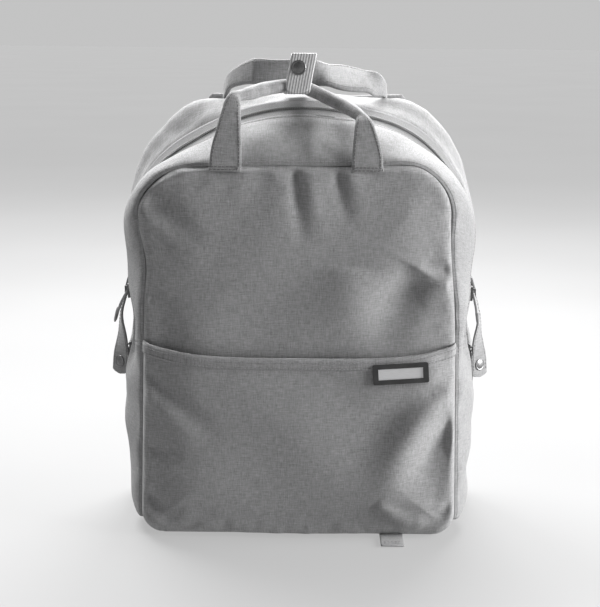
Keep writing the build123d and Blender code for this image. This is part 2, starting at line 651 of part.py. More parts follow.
with BuildPart() as wrap_stud:
    with BuildSketch(Plane.XZ.offset(-WRAP_FRONT - WRAP_T)):
        with Locations((WRAP_X, SNAP_Z)):
            Circle(WRAP_STUD_R)
    extrude(amount=-WRAP_STUD_T)
save(wrap_stud, "wrap_stud")

# ---- laptop sleeve inside, against the back panel ----------------------------------------------
SLEEVE_FRONT_Y, SLEEVE_T = 44.0, 4.0
SLEEVE_HALF, SLEEVE_TOP_Z = 125.0, 285.0
SLEEVE_LOW_Z, SLEEVE_OPEN = 10.0, 10.0      # its foot, and how far the cut runs past the open top
with BuildPart() as laptop_sleeve:
    with BuildSketch(Plane.XZ.offset(-BACK_Y)):
        with Locations((0, (SLEEVE_LOW_Z + SLEEVE_TOP_Z) / 2)):
            Rectangle(2 * SLEEVE_HALF, SLEEVE_TOP_Z - SLEEVE_LOW_Z)
    extrude(amount=BACK_Y - SLEEVE_FRONT_Y)
    with BuildSketch(Plane.XZ.offset(-BACK_Y)):
        with Locations((0, (SLEEVE_LOW_Z + SLEEVE_T + SLEEVE_TOP_Z + SLEEVE_OPEN) / 2)):
            Rectangle(
                2 * (SLEEVE_HALF - SLEEVE_T),
                SLEEVE_TOP_Z + SLEEVE_OPEN - SLEEVE_LOW_Z - SLEEVE_T,
            )
    extrude(amount=BACK_Y - SLEEVE_FRONT_Y - SLEEVE_T, mode=Mode.SUBTRACT)
save(laptop_sleeve, "laptop_sleeve")

SLEEVE_STRAP_Z, SLEEVE_STRAP_W, SLEEVE_STRAP_L, SLEEVE_STRAP_T = 268.0, 30.0, 56.0, 2.0
with BuildPart() as sleeve_strap:
    with BuildSketch(Plane.XZ.offset(-SLEEVE_FRONT_Y)):
        with Locations((0, SLEEVE_STRAP_Z)):
            RectangleRounded(SLEEVE_STRAP_W, SLEEVE_STRAP_L, 3)
    extrude(amount=SLEEVE_STRAP_T)
save(sleeve_strap, "sleeve_strap")

# ---- shoulder straps: padded upper part, ladder lock and lower webbing -------------------------
STRAP_W, STRAP_T = 52.0, 10.0
STRAP_TOP_X, STRAP_MID_X, STRAP_END_X = 62.0, 92.0, 100.0
SHOULDER_TOP_Z, STRAP_MID_Z, STRAP_END_Z = 335.0, 240.0, 140.0
STRAP_TOP_BACK, STRAP_MID_BACK, STRAP_END_BACK = 78.0, 91.0, 86.0
WEB_W, WEB_T = 24.0, 2.0
WEB_MID_SHIFT, WEB_MID_Z = 12.0, 88.0
WEB_END_X, WEB_END_Z, WEB_END_BACK = 130.0, 48.0, 70.5
LOCK_W, LOCK_H, LOCK_T = 34.0, 22.0, 4.0
LOCK_SLOT_W, LOCK_SLOT_H, LOCK_SLOT_Z = 26.0, 4.0, 5.5


def ribbon(sign, width, thick, points):
    """Flat strap bent along X and Y: a curved strip seen from behind, cut from a curved sheet
    seen from the side. Each point is (x, y of the inner face, z)."""
    (x0, y0, z0), (x1, y1, z1), (x2, y2, z2) = points
    half = width / 2
    with BuildPart() as strip:
        with BuildSketch(Plane.YZ.offset(-BIG / 2)):
            with BuildLine():
                ThreePointArc((y0, z0), (y1, z1), (y2, z2))
                Line((y2, z2), (y2 + thick, z2))
                ThreePointArc((y2 + thick, z2), (y1 + thick, z1), (y0 + thick, z0))
                Line((y0 + thick, z0), (y0, z0))
            make_face()
        extrude(amount=BIG)
        with BuildSketch(Plane.XZ.offset(-BIG / 2)):
            with BuildLine():
                ThreePointArc(
                    (sign * (x0 - half), z0), (sign * (x1 - half), z1), (sign * (x2 - half), z2)
                )
                Line((sign * (x2 - half), z2), (sign * (x2 + half), z2))
                ThreePointArc(
                    (sign * (x2 + half), z2), (sign * (x1 + half), z1), (sign * (x0 + half), z0)
                )
                Line((sign * (x0 + half), z0), (sign * (x0 - half), z0))
            make_face()
        extrude(amount=BIG, mode=Mode.INTERSECT)
    return strip


for side, sign in SIDES.items():
    shoulder_pad = ribbon(sign, STRAP_W, STRAP_T, [
        (STRAP_TOP_X, STRAP_TOP_BACK, SHOULDER_TOP_Z),
        (STRAP_MID_X, STRAP_MID_BACK, STRAP_MID_Z),
        (STRAP_END_X, STRAP_END_BACK, STRAP_END_Z),
    ])
    save(shoulder_pad, f"shoulder_pad_{side}")

    lock_y = STRAP_END_BACK + STRAP_T / 2
    with BuildPart() as ladder_lock:
        with BuildSketch(Plane.XZ.offset(-(lock_y - LOCK_T / 2))):
            with Locations((sign * STRAP_END_X, STRAP_END_Z - LOCK_H / 2)):
                RectangleRounded(LOCK_W, LOCK_H, 3)
                for bar_gap in (-LOCK_SLOT_Z, LOCK_SLOT_Z):
                    with Locations((0, bar_gap)):
                        Rectangle(LOCK_SLOT_W, LOCK_SLOT_H, mode=Mode.SUBTRACT)
        extrude(amount=-LOCK_T)
    save(ladder_lock, f"ladder_lock_{side}")

    shoulder_webbing = ribbon(sign, WEB_W, WEB_T, [
        (STRAP_END_X, lock_y - 1, STRAP_END_Z - LOCK_H - 0.2),
        (STRAP_END_X + WEB_MID_SHIFT, lock_y - 6, WEB_MID_Z),
        (WEB_END_X, WEB_END_BACK, WEB_END_Z),
    ])
    save(shoulder_webbing, f"shoulder_webbing_{side}")
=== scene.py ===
"""Looks of the school backpack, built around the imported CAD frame.

Shapes are worked out in millimetres in the frame's own axes: +Z up, the bag's front faces -Y.
make_piece() turns them into metres. Every cloth piece carries a "weave" attribute, its place on
the cloth in metres, which the fabric materials follow.
"""
import math
from dataclasses import dataclass, fields, replace

import bpy
import numpy as np
from mathutils import Matrix, Vector


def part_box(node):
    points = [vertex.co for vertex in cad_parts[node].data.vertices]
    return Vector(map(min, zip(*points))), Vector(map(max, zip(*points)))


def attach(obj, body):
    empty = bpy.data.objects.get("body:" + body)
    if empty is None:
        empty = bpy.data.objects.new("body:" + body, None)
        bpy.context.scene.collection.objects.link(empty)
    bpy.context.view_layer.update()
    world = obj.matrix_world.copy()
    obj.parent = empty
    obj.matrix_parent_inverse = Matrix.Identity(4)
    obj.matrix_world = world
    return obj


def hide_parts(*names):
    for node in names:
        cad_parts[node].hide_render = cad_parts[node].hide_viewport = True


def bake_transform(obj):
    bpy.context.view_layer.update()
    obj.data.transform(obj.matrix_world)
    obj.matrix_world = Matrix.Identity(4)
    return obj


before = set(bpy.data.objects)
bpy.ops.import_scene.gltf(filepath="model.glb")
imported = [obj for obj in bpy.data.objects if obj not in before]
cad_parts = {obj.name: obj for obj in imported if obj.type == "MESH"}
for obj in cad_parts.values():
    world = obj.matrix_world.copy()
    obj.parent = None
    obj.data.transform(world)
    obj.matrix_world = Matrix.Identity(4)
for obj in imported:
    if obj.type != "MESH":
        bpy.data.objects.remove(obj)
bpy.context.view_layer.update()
MM = 0.001
SIDES = {"left": -1, "right": 1}


def span(node):
    """Lowest and highest corner of a CAD node, in millimetres."""
    low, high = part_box(node)
    return np.array(low) / MM, np.array(high) / MM


def middle_of(node):
    low, high = span(node)
    return (low + high) / 2


# ---- sizes that come from the frame ----
SEAM_Y = span("upper_front_panel")[1][1]
FOLD_Z = span("upper_front_gusset")[0][2]
SIDE_TOP_Z = span("lower_side_left")[1][2]
BASE_TOP_Z = span("bottom_panel")[1][2]
ZIP_FRONT_Y = span("zip_tape_front")[0][1]
ZIP_REAR_Y = span("zip_tape_rear")[1][1]
ZIP_HALF = span("lower_side_right")[1][0]
SIDE_ZIP_LOW, SIDE_ZIP_HIGH = (span("side_zip_left")[k][2] for k in (0, 1))
BACK_Y = span("back_panel")[0][1]
BACK_FACE_Y = span("back_panel")[1][1]
POCKET_FACE_Y = span("slip_pocket_panel")[0][1]
CROWN = span("rear_gusset")[1][2]

WALL = 3.4                 # outer cloth and foam
LINING_GAP = 3.9           # how far the lining lies inside the outer face
ZIP_INSET = 1.6            # how far the zip lies inside the cloth
SEAM_BACK_Y = BACK_Y + 3   # seam between the bag's sides and the back panel


# ---- numbers and curves ----
def smooth_step(value):
    value = np.clip(value, 0, 1)
    return value * value * (3 - 2 * value)


def bell(value):
    return np.exp(-np.square(value))


def unit(vectors):
    return vectors / np.linalg.norm(vectors, axis=-1, keepdims=True).clip(1e-9)


def run_of(path):
    """Length along a path up to each of its points."""
    steps = np.linalg.norm(np.diff(path, axis=0), axis=-1)
    return np.concatenate([[0], np.cumsum(steps)])


def resample(path, shares):
    """Points of a path at the given shares of its length."""
    path = np.asarray(path, float)
    run = run_of(path)
    at = np.asarray(shares) * run[-1]
    return np.stack([np.interp(at, run, path[:, k]) for k in range(path.shape[1])], -1)


def evenly(path, count):
    """Evenly spaced points along a path, from its first to its last."""
    return resample(path, np.linspace(0, 1, count))


def mirrored(half):
    """An outline's right half with its left half after it; the middle point comes once."""
    return np.vstack([half, half[-2::-1] * np.array([-1, 1])])


def curve(points, count):
    """Smooth path through the points, evenly spaced."""
    p = np.asarray(points, float)
    p = np.vstack([2 * p[0] - p[1], p, 2 * p[-1] - p[-2]])
    t = np.linspace(0, 1, 24, endpoint=False)[:, None]
    parts = []
    for a, b, c, d in zip(p[:-3], p[1:-2], p[2:-1], p[3:]):
        parts.append(
            0.5 * (2 * b + (c - a) * t + (2 * a - 5 * b + 4 * c - d) * t**2
                   + (3 * b - a - 3 * c + d) * t**3)
        )
    parts.append(p[-2][None])
    return evenly(np.vstack(parts), count)


def route_from(*legs):
    """Rows of numbers that begin with x, y, z, each leg's measured from its own origin."""
    rows = []
    for origin, steps in legs:
        rows += [(*(o + s for o, s in zip(origin, step)), *step[3:]) for step in steps]
    return rows


def nearest(points, path):
    """Distance to the nearest place on a path, and that place's share of its length."""
    run = run_of(path)
    gap = np.full(points.shape[:-1], np.inf)
    share = np.zeros_like(gap)
    for a, b, start in zip(path[:-1], path[1:], run[:-1]):
        step = b - a
        size = step @ step
        t = np.clip(((points - a) @ step) / size, 0, 1)
        here = np.linalg.norm(points - (a + t[..., None] * step), axis=-1)
        closer = here < gap
        gap = np.where(closer, here, gap)
        share = np.where(closer, (start + t * math.sqrt(size)) / run[-1], share)
    return gap, share


def creases(points, folds):
    """Height of soft ridges and hollows. Each fold is its points, its half width and its height.
    It is sharpest near its first point, widens along its length and fades out slowly."""
    total = np.zeros(points.shape[:-1])
    for path, width, height in folds:
        gap, share = nearest(points, curve(path, 24))
        fade = np.sin(np.pi * share**0.6).clip(0, 1)
        total += height * fade * bell(gap / (width * (0.75 + 0.6 * share)))
    return total


def ripple(points, wavelength, seed):
    """Gentle unevenness between -1 and 1, the same in each run."""
    rng = np.random.default_rng(seed)
    total = np.zeros(points.shape[:-1])
    waves = 9
    for _ in range(waves):
        direction = rng.normal(size=points.shape[-1])
        direction /= np.linalg.norm(direction)
        scale = 2 * np.pi / (wavelength * rng.uniform(0.7, 1.6))
        total += np.sin(points @ direction * scale + rng.uniform(0, 6.3))
    return total / math.sqrt(waves)


# ---- cross-sections of the bag ----
@dataclass
class Section:
    """One cross-section in an X-Z plane: flat bottom, upright sides, round shoulders, arched top."""
    y: float
    foot: float
    side: float
    side_top: float
    bend_x: float
    bend_z: float
    crown: float
    corner: float


SEAM = Section(SEAM_Y, 136, 127.5, 280, 92, 319, span("upper_front_panel")[1][2], 20)
ZIP = Section(0, ZIP_HALF, ZIP_HALF, 258, 91, 338.5, CROWN - 7, 26)
ZIP_TILT = 6.0             # the zip's front edge lies this far below its middle, on the top arch
ZIP_FRONT = replace(ZIP, y=ZIP_FRONT_Y, bend_z=ZIP.bend_z - ZIP_TILT, crown=ZIP.crown - ZIP_TILT)
ZIP_REAR = replace(ZIP, y=ZIP_REAR_Y, bend_z=ZIP.bend_z + ZIP_TILT, crown=ZIP.crown + ZIP_TILT * 0.7)
KNOTS = [
    SEAM,
    ZIP_FRONT,
    ZIP_REAR,
    Section(35, 152.5, 151.5, 250, 85, 364, CROWN - 1, 30),
    Section(52, 152.5, 151.5, 254, 83, 361, CROWN - 2, 28),
    Section(SEAM_BACK_Y, ZIP_HALF - 1.5, ZIP_HALF - 2, 258, 80, 357, CROWN - 6, 26),
]
FULLNESS = 0.52            # how square the shoulders are
SIDE_STEPS, SHOULDER_STEPS, TOP_STEPS = 64, 36, 44


def section_at(y):
    """Cross-section at a depth, eased between the known ones."""
    table = np.array([[getattr(k, f.name) for f in fields(Section)] for k in KNOTS])
    if y > ZIP_REAR_Y:
        table = curve(table[KNOTS.index(ZIP_REAR):], 60)
    return Section(y, *(np.interp(y, table[:, 0], column) for column in table.T[1:]))


def side_x(section, z):
    """Half width of a section at a height below its shoulder."""
    z = np.asarray(z, float)
    share = (z - section.corner) / (section.side_top - section.corner)
    upright = section.foot + (section.side - section.foot) * np.clip(share, 0, 1)
    drop = np.clip(section.corner - z, 0, section.corner)
    return upright - section.corner + np.sqrt(section.corner**2 - drop**2)


def half_arch(section, levels):
    """Right half of a section, up the side through the given levels and over to the middle."""
    side = np.stack([side_x(section, levels), levels], -1)
    t = np.linspace(0, 1, SHOULDER_STEPS + 1)[1:, None]
    slope = 2 * (section.crown - section.bend_z) / section.bend_x
    inward = np.array([1, -slope]) / math.hypot(1, slope)
    start = np.array([section.side, section.side_top])
    end = np.array([section.bend_x, section.bend_z])
    up = start + np.array([0, FULLNESS * (end[1] - start[1])])
    out = end + inward * FULLNESS * (start[0] - end[0])
    shoulder = (start * (1 - t) ** 3 + 3 * up * t * (1 - t) ** 2
                + 3 * out * t**2 * (1 - t) + end * t**3)
    x = np.linspace(section.bend_x, 0, TOP_STEPS + 1)[1:]
    top = np.stack([x, section.crown - (section.crown - section.bend_z) * (x / section.bend_x) ** 2], -1)
    return np.vstack([side, shoulder, top])


def arch(section, levels):
    """Open outline from the right side, over the top, to the left side."""
    return mirrored(half_arch(section, levels))


def levels_up(section, low):
    return np.linspace(low, section.side_top, SIDE_STEPS)


def at_depth(outline, y):
    """An X-Z outline as points in space."""
    return np.stack([outline[:, 0], np.full(len(outline), float(y)), outline[:, 1]], -1)


# The bag isn't quite even: (centre, reach, move) of each place where its shell has settled.
SETTLED = [
    ((96, SEAM_Y, 312), (36, 34, 40), (-4, 0, 2)),
    ((122, SEAM_Y, 258), (26, 34, 44), (-4, 0, 0)),
    ((-132, SEAM_Y, 281), (26, 34, 26), (-6, 0, 0)),
    ((-127, SEAM_Y, 236), (22, 30, 20), (2, 0, 0)),
    ((94, 0, 345), (46, 34, 42), (1, 0, 6)),
    ((-94, 0, 338), (42, 34, 42), (0, 0, -2)),
    ((122, 58, 338), (36, 40, 40), (0, 0, 3)),
]
BULGE, BULGE_Z, WAIST, WAIST_Z = 4.0, 106, 5.5, 182
ZIP_STIFFNESS = 0.7        # share of the waist that the zips, being stiff, don't follow
PINCH, PINCH_Z = 8.0, 168   # the sides draw in before the zips, beside the pocket's mouth


def near(points, centre, reach):
    """1 at a place, fading out around it."""
    return np.exp(-np.square((points - np.array(centre)) / reach).sum(-1))


def settle(points):
    """Where the points of an even bag lie on the real one."""
    moved = np.array(points, float)
    for centre, reach, move in SETTLED:
        moved += near(points, centre, reach)[..., None] * np.array(move, float)
    x, y, z = (points[..., k] for k in range(3))
    side = np.sign(x) * smooth_step((np.abs(x) - 100) / 36)
    depth = smooth_step((y - SEAM_Y) / 38) * smooth_step((BACK_FACE_Y + 2 - y) / 24)
    waist = WAIST * (1 - ZIP_STIFFNESS * bell(y / 12))
    swell = BULGE * bell((z - BULGE_Z) / 44) - waist * bell((z - WAIST_Z) / 24)
    before_zip = smooth_step((ZIP_FRONT_Y + 4 - y) / 14)
    swell = swell - PINCH * before_zip * bell((z - PINCH_Z) / 30)
    moved[..., 0] += side * depth * swell
    return moved


# ---- meshes ----
def grid_faces(rows, columns, closed=False, keep=None):
    """Quads over rows and columns of points. keep(row, column) may leave some out."""
    faces = []
    for r in range(rows - 1):
        for c in range(columns if closed else columns - 1):
            if keep is not None and not keep[r, c]:
                continue
            d = (c + 1) % columns
            faces.append((r * columns + c, r * columns + d, (r + 1) * columns + d, (r + 1) * columns + c))
    return faces


def closed_faces(rings, sides):
    """Quads around rings of points, with a cap over each end."""
    faces = grid_faces(rings, sides, closed=True)
    faces.append(tuple(range(sides))[::-1])
    faces.append(tuple((rings - 1) * sides + k for k in range(sides)))
    return faces


def make_piece(name, points, faces, material, weave=None, smooth=True):
    """A mesh object from points in millimetres. weave is each point's place on the cloth."""
    points = np.asarray(points, float).reshape(-1, 3)
    mesh = bpy.data.meshes.new(name)
    mesh.from_pydata((points * MM).tolist(), [], faces)
    mesh.materials.append(material)
    mesh.polygons.foreach_set("use_smooth", [smooth] * len(mesh.polygons))
    weave = points[:, [0, 2]] if weave is None else np.asarray(weave, float).reshape(-1, 2)
    flat = np.zeros((len(points), 3), np.float32)
    flat[:, :2] = weave * MM
    mesh.attributes.new("weave", "FLOAT_VECTOR", "POINT").data.foreach_set("vector", flat.ravel())
    mesh.update()
    piece = bpy.data.objects.new(name, mesh)
    bpy.context.scene.collection.objects.link(piece)
    return piece


def apply_modifiers(piece):
    """Replace a piece's mesh with what its modifiers make of it."""
    graph = bpy.context.evaluated_depsgraph_get()
    final = bpy.data.meshes.new_from_object(piece.evaluated_get(graph), depsgraph=graph)
    piece.modifiers.clear()
    piece.data = final
    return piece


def normals_of(points):
    """Unit normals of a grid of points."""
    along = np.gradient(points, axis=1)
    across = np.gradient(points, axis=0)
    return unit(np.cross(along, across))


BAG_MIDDLE = np.array([0.0, 8.0, 180.0])


def outward(points, middle=BAG_MIDDLE):
    """Unit normals of a grid of points that face away from the bag's middle."""
    normal = normals_of(points)
    if ((points - middle) * normal).sum() < 0:
        normal = -normal
    return normal


def cloth(name, points, material, weave, thickness=WALL, keep=None, middle=BAG_MIDDLE):
    """A sheet of padded cloth over a grid of points, with its thickness on the inside."""
    rows, columns = points.shape[:2]
    faces = grid_faces(rows, columns, keep=keep)
    if ((points - middle) * normals_of(points)).sum() < 0:
        faces = [f[::-1] for f in faces]
    piece = make_piece(name, points, faces, material, weave)
    if thickness:
        solid = piece.modifiers.new("thickness", "SOLIDIFY")
        solid.thickness = thickness * MM
        solid.offset = -1
        apply_modifiers(piece)
    return piece


def inner_layer(name, points, material, weave, keep=None, gap=LINING_GAP):
    """The lining inside a grid of outer cloth."""
    inside = points - outward(points) * gap
    return cloth(name, inside, material, weave, thickness=0.5, keep=keep)


def strap_frame(path, hint):
    """At each point of a path: the way across the strap, and the way out of its face."""
    ahead = unit(np.gradient(path, axis=0))
    wide = unit(np.cross(ahead, np.broadcast_to(np.asarray(hint, float), path.shape)))
    return wide, np.cross(wide, ahead)


def tube(name, path, half_width, half_thick, material, hint=(0, -1, 0), power=2.0, sides=28, offset=None):
    """A closed strap or cord along a path. Its width lies across the path and across the hint."""
    path = np.asarray(path, float)
    count = len(path)
    wide, thick = strap_frame(path, hint)
    a = np.broadcast_to(half_width, (count,))[:, None]
    b = np.broadcast_to(half_thick, (count,))[:, None]
    e = 2 / np.broadcast_to(power, (count,))[:, None]
    turn = np.linspace(0, 2 * np.pi, sides, endpoint=False)[None]
    u = a * np.sign(np.cos(turn)) * np.abs(np.cos(turn)) ** e
    v = b * np.sign(np.sin(turn)) * np.abs(np.sin(turn)) ** e
    points = path[:, None] + u[..., None] * wide[:, None] + v[..., None] * thick[:, None]
    if offset is not None:
        points = offset(points)
    weave = np.stack([u + np.sign(v) * 0.4 * b, np.broadcast_to(run_of(path)[:, None], u.shape)], -1)
    return make_piece(name, points, closed_faces(count, sides), material, weave)


def frames_along(path, facing):
    """Origins and axes (ahead, side, facing) at each point of a path."""
    ahead = unit(np.gradient(path, axis=0))
    side = unit(np.cross(facing, ahead))
    return path, np.stack([ahead, side, np.cross(ahead, side)], 1)


def bead_mesh(origins, axes, half_length, half_side, half_height, sides=6):
    """Many small rounded beads, one at each frame: half sizes along its three axes."""
    rings = np.array([(-1, 0.45), (-0.75, 1), (0.75, 1), (1, 0.45)])
    turn = np.linspace(0, 2 * np.pi, sides, endpoint=False)
    bead = np.array([
        (half_length * x, half_side * r * math.cos(t), half_height * r * math.sin(t))
        for x, r in rings for t in turn
    ])
    faces = closed_faces(len(rings), sides)
    points = origins[:, None] + np.einsum("bk,nkj->nbj", bead, axes)
    size = len(bead)
    every = [tuple(i + n * size for i in face) for n in range(len(origins)) for face in faces]
    return points.reshape(-1, 3), every


class Stitching:
    """Collects rows of stitches, and makes one piece of them for each body."""
    PITCH, HALF_LENGTH, HALF_WIDE, HALF_HIGH = 3.1, 1.15, 0.36, 0.3

    def __init__(self):
        self.rows = {}

    def row(self, body, path, facing):
        """Stitches along a path on the side that faces outwards."""
        length = run_of(path)[-1]
        count = max(int(length / self.PITCH), 2)
        shares = (np.arange(count) + 0.5) / count
        facing = np.broadcast_to(np.asarray(facing, float), np.shape(path))
        points = resample(path, shares)
        outs = unit(resample(np.hstack([path, facing]), shares)[:, 3:])
        self.rows.setdefault(body, []).append(frames_along(points, outs))

    def edges(self, body, path, hint, shift, lift, part=slice(None), faces=(1,)):
        """Stitches along both edges of a strap: on its face (1), on its back (-1) or on both."""
        wide, out = strap_frame(path, hint)
        shift, lift = (np.reshape(value, (-1, 1)) for value in (shift, lift))
        for way in (-1, 1):
            for face in faces:
                row = path + way * wide * shift + face * out * lift
                self.row(body, row[part], face * out[part])

    def grid_row(self, body, points, row, lift, part=slice(None)):
        """Stitches along one row of a grid of outer cloth."""
        outs = outward(points)[row][part]
        self.row(body, points[row][part] + outs * lift, outs)

    def make(self, name, material):
        for body, found in self.rows.items():
            origins, axes = (np.concatenate(parts) for parts in zip(*found))
            points, faces = bead_mesh(origins, axes, self.HALF_LENGTH, self.HALF_WIDE, self.HALF_HIGH)
            place(make_piece(f"{name}_{body}", points, faces, material), body, "webbing")


stitching = Stitching()
# Stitches on the front handle, in a darker thread that paints in the shade they lie in.
painted_shade_stitching = Stitching()


def revolve(name, profile, centre, axis, material, sides=48):
    """A turned piece. The profile is (radius, height) from its middle outwards."""
    axis = Vector(axis).normalized()
    turn = Vector((0, 0, 1)).rotation_difference(axis).to_matrix()
    points = []
    for radius, height in profile:
        for k in range(sides):
            angle = 2 * math.pi * k / sides
            local = Vector((radius * math.cos(angle), radius * math.sin(angle), height))
            points.append(Vector(centre) + turn @ local)
    return make_piece(name, [tuple(p) for p in points], closed_faces(len(profile), sides), material)


# ---- how pieces ride on the bodies ----
FLAP_BEND = ((0, SEAM_Y * MM, (FOLD_Z - 12) * MM), (0, SEAM_Y * MM, (FOLD_Z + 66) * MM))
HANDLE_LOW = span("front_handle_anchors")[1][2]
HANDLE_BEND = ((0, SEAM_Y * MM, (HANDLE_LOW - 3) * MM), (0, SEAM_Y * MM, (HANDLE_LOW + 9) * MM))
BLENDS = {
    "flap_fold": ("bag", "front_flap", *FLAP_BEND),
    "handle_fold": ("front_flap", "front_carry_handle", *HANDLE_BEND),
}


def place(piece, body, slot, *nodes):
    """Put a piece on its body, or bake its transform into its mesh when the body is one of the joint blends,
    and hide what it replaces. slot is not used.
    """
    if body in BLENDS:
        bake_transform(piece)
    else:
        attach(piece, body)
    if nodes:
        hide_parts(*nodes)
    return piece


def place_tube(name, path, half_width, half_thick, material, body, slot, *nodes, **shape):
    """A tube, put on its body. shape is what tube() takes after the material."""
    return place(tube(name, path, half_width, half_thick, material, **shape), body, slot, *nodes)


# ---- materials ----
class Shader:
    """Wires the nodes of one material."""

    def __init__(self, name, roughness, metallic=0.0, specular=0.5, sheen=0.0):
        self.material = bpy.data.materials.new(name)
        self.material.use_nodes = True
        self.tree = self.material.node_tree
        self.surface = self.tree.nodes["Principled BSDF"]
        self.surface_is("Roughness", roughness)
        self.surface_is("Metallic", metallic)
        self.surface_is("Specular IOR Level", specular)
        self.surface_is("Sheen Weight", sheen)

    def surface_is(self, key, value):
        self.put(self.surface.inputs[key], value)

    def put(self, socket, value):
        if isinstance(value, bpy.types.NodeSocket):
            self.tree.links.new(value, socket)
        else:
            socket.default_value = value

    def node(self, kind, sockets=None, **settings):
        made = self.tree.nodes.new("ShaderNode" + kind)
        for key, value in settings.items():
            setattr(made, key, value)
        for key, value in (sockets or {}).items():
            self.put(made.inputs[key], value)
        return made

    def math(self, operation, a, b=0.0):
        return self.node("Math", {0: a, 1: b}, operation=operation).outputs[0]

    def total(self, *terms):
        """Sum of values, each times its weight."""
        parts = [self.math("MULTIPLY", value, weight) for value, weight in terms]
        found = parts[0]
        for part in parts[1:]:
            found = self.math("ADD", found, part)
        return found

    def wave(self, kind, value):
        """Height of a wave, without its sign."""
        return self.math("ABSOLUTE", self.math(kind, value))

    def spread(self, value, start, end):
        """The middle range of a noise, stretched from start to end."""
        return self.node("MapRange", {0: value, 1: 0.3, 2: 0.7, 3: start, 4: end}).outputs[0]

    def weave(self):
        return self.node("Attribute", attribute_name="weave").outputs["Vector"]

    def place(self):
        return self.node("TexCoord").outputs["Object"]

    def stretched(self, vector, factors):
        return self.node("VectorMath", {0: vector, 1: factors}, operation="MULTIPLY").outputs[0]

    def noise(self, vector, scale, detail=2.0):
        sockets = {"Vector": vector, "Scale": scale, "Detail": detail}
        return self.node("TexNoise", sockets).outputs["Fac"]

    def parts(self, vector):
        return self.node("SeparateXYZ", {0: vector}).outputs

    def tone(self, fac, dark, light, low=0.3, high=0.7):
        """A neutral grey between dark and light."""
        ramp = self.node("ValToRGB", {"Fac": fac})
        for stop, level, position in zip(ramp.color_ramp.elements, (dark, light), (low, high)):
            stop.position = position
            stop.color = (level, level, level * 1.01, 1)
        return ramp.outputs["Color"]

    def colour(self, *tone):
        self.surface_is("Base Color", self.tone(*tone))

    def bump(self, height, distance, strength=1.0):
        sockets = {"Height": height, "Distance": distance * MM, "Strength": strength}
        self.surface_is("Normal", self.node("Bump", sockets).outputs["Normal"])


def woven(name, dark, light, thread=0.62, sheen=0.25, wear=0.1):
    """Plain weave whose warp and weft threads each have their own tone, with longer slubs."""
    s = Shader(name, 0.86, specular=0.25, sheen=sheen)
    s.surface_is("Sheen Roughness", 0.55)
    rate = 1 / (thread * MM)
    cloth_place = s.weave()
    x, y, _ = s.parts(s.stretched(cloth_place, (rate * math.pi, rate * math.pi, 0)))
    crossing = s.math("MULTIPLY", s.math("SINE", x), s.math("SINE", y))
    over = s.math("GREATER_THAN", crossing, 0.0)
    warp = s.noise(s.stretched(cloth_place, (rate * 0.9, rate / 7, 1)), 1.0, 1.0)
    weft = s.noise(s.stretched(cloth_place, (rate / 7, rate * 0.9, 1)), 1.0, 1.0)
    thread_tone = s.node("Mix", {"Factor": over, 2: weft, 3: warp}).outputs[0]
    slub = s.noise(s.stretched(cloth_place, (rate / 1.5, rate / 16, 1)), 1.0, 1.0)
    crossed_slub = s.noise(s.stretched(cloth_place, (rate / 16, rate / 1.5, 1)), 1.0, 1.0)
    wash = s.noise(cloth_place, 16.0, 3.0)
    worn = s.math("SUBTRACT", wash, 0.5)
    aged = s.total((thread_tone, 0.44), (slub, 0.28), (crossed_slub, 0.28), (worn, wear))
    s.colour(aged, dark, light, 0.34, 0.66)
    s.bump(s.total((s.math("ABSOLUTE", crossing), 1.0), (thread_tone, 0.8)), thread * 0.3, 0.8)
    s.surface_is("Roughness", s.math("ADD", s.math("MULTIPLY", slub, 0.2), 0.74))
    return s.material


def ribbed(name, dark, light, rib=1.25, thread=0.55, lengthwise=False):
    """Webbing: ribs across the strap, or along it, crossed by fine binding threads."""
    s = Shader(name, 0.8, specular=0.3, sheen=0.2)
    periods = (rib, thread) if lengthwise else (thread, rib)
    x, y, _ = s.parts(s.stretched(s.weave(), (*(math.pi / (p * MM) for p in periods), 0)))
    if lengthwise:
        x, y = y, x
    grain = s.noise(s.stretched(s.weave(), (900, 420, 1)), 1.0, 2.0)
    depth = s.total((s.wave("SINE", y), 0.75), (s.wave("SINE", x), 0.25))
    s.colour(s.total((depth, 0.55), (grain, 0.45)), dark, light, 0.25, 0.75)
    s.bump(depth, 0.32, 0.9)
    return s.material


def herringbone(name, dark, light):
    """Zip tape: a fine chevron weave along the tape."""
    s = Shader(name, 0.78, specular=0.3)
    x, y, _ = s.parts(s.stretched(s.weave(), (1 / (2.6 * MM), 1 / (0.75 * MM), 0)))
    zigzag = s.math("PINGPONG", x, 0.5)
    slant = s.math("SINE", s.math("MULTIPLY", s.total((y, 1.0), (zigzag, 4.0)), 6.283))
    grain = s.noise(s.weave(), 1500.0, 2.0)
    s.colour(s.total((slant, 0.2), (grain, 1.0)), dark, light, 0.3, 0.75)
    s.bump(slant, 0.14, 0.8)
    return s.material


def air_mesh(name, dark, light, pitch=3.1):
    """Spacer mesh: rounded holes in offset rows over a darker ground."""
    s = Shader(name, 0.82, specular=0.3, sheen=0.3)
    wave = 2 * math.pi / (pitch * MM)
    x, y, _ = s.parts(s.stretched(s.weave(), (wave, wave, 0)))
    half_x = s.math("MULTIPLY", x, 0.5)
    tilted = s.math("MULTIPLY", y, 0.866)
    first = s.math("COSINE", x)
    second = s.math("COSINE", s.math("ADD", half_x, tilted))
    third = s.math("COSINE", s.math("SUBTRACT", half_x, tilted))
    cells = s.math("ADD", s.math("ADD", first, second), third)
    holes = s.node("MapRange", {0: cells, 1: 0.4, 2: 1.9, 3: 1.0, 4: 0.0}).outputs[0]
    fibre = s.noise(s.weave(), 2600.0, 2.0)
    shade = s.math("MULTIPLY", holes, s.math("ADD", s.math("MULTIPLY", fibre, 0.5), 0.6))
    s.colour(shade, dark, light, 0.05, 0.95)
    s.bump(holes, 0.7, 0.9)
    return s.material


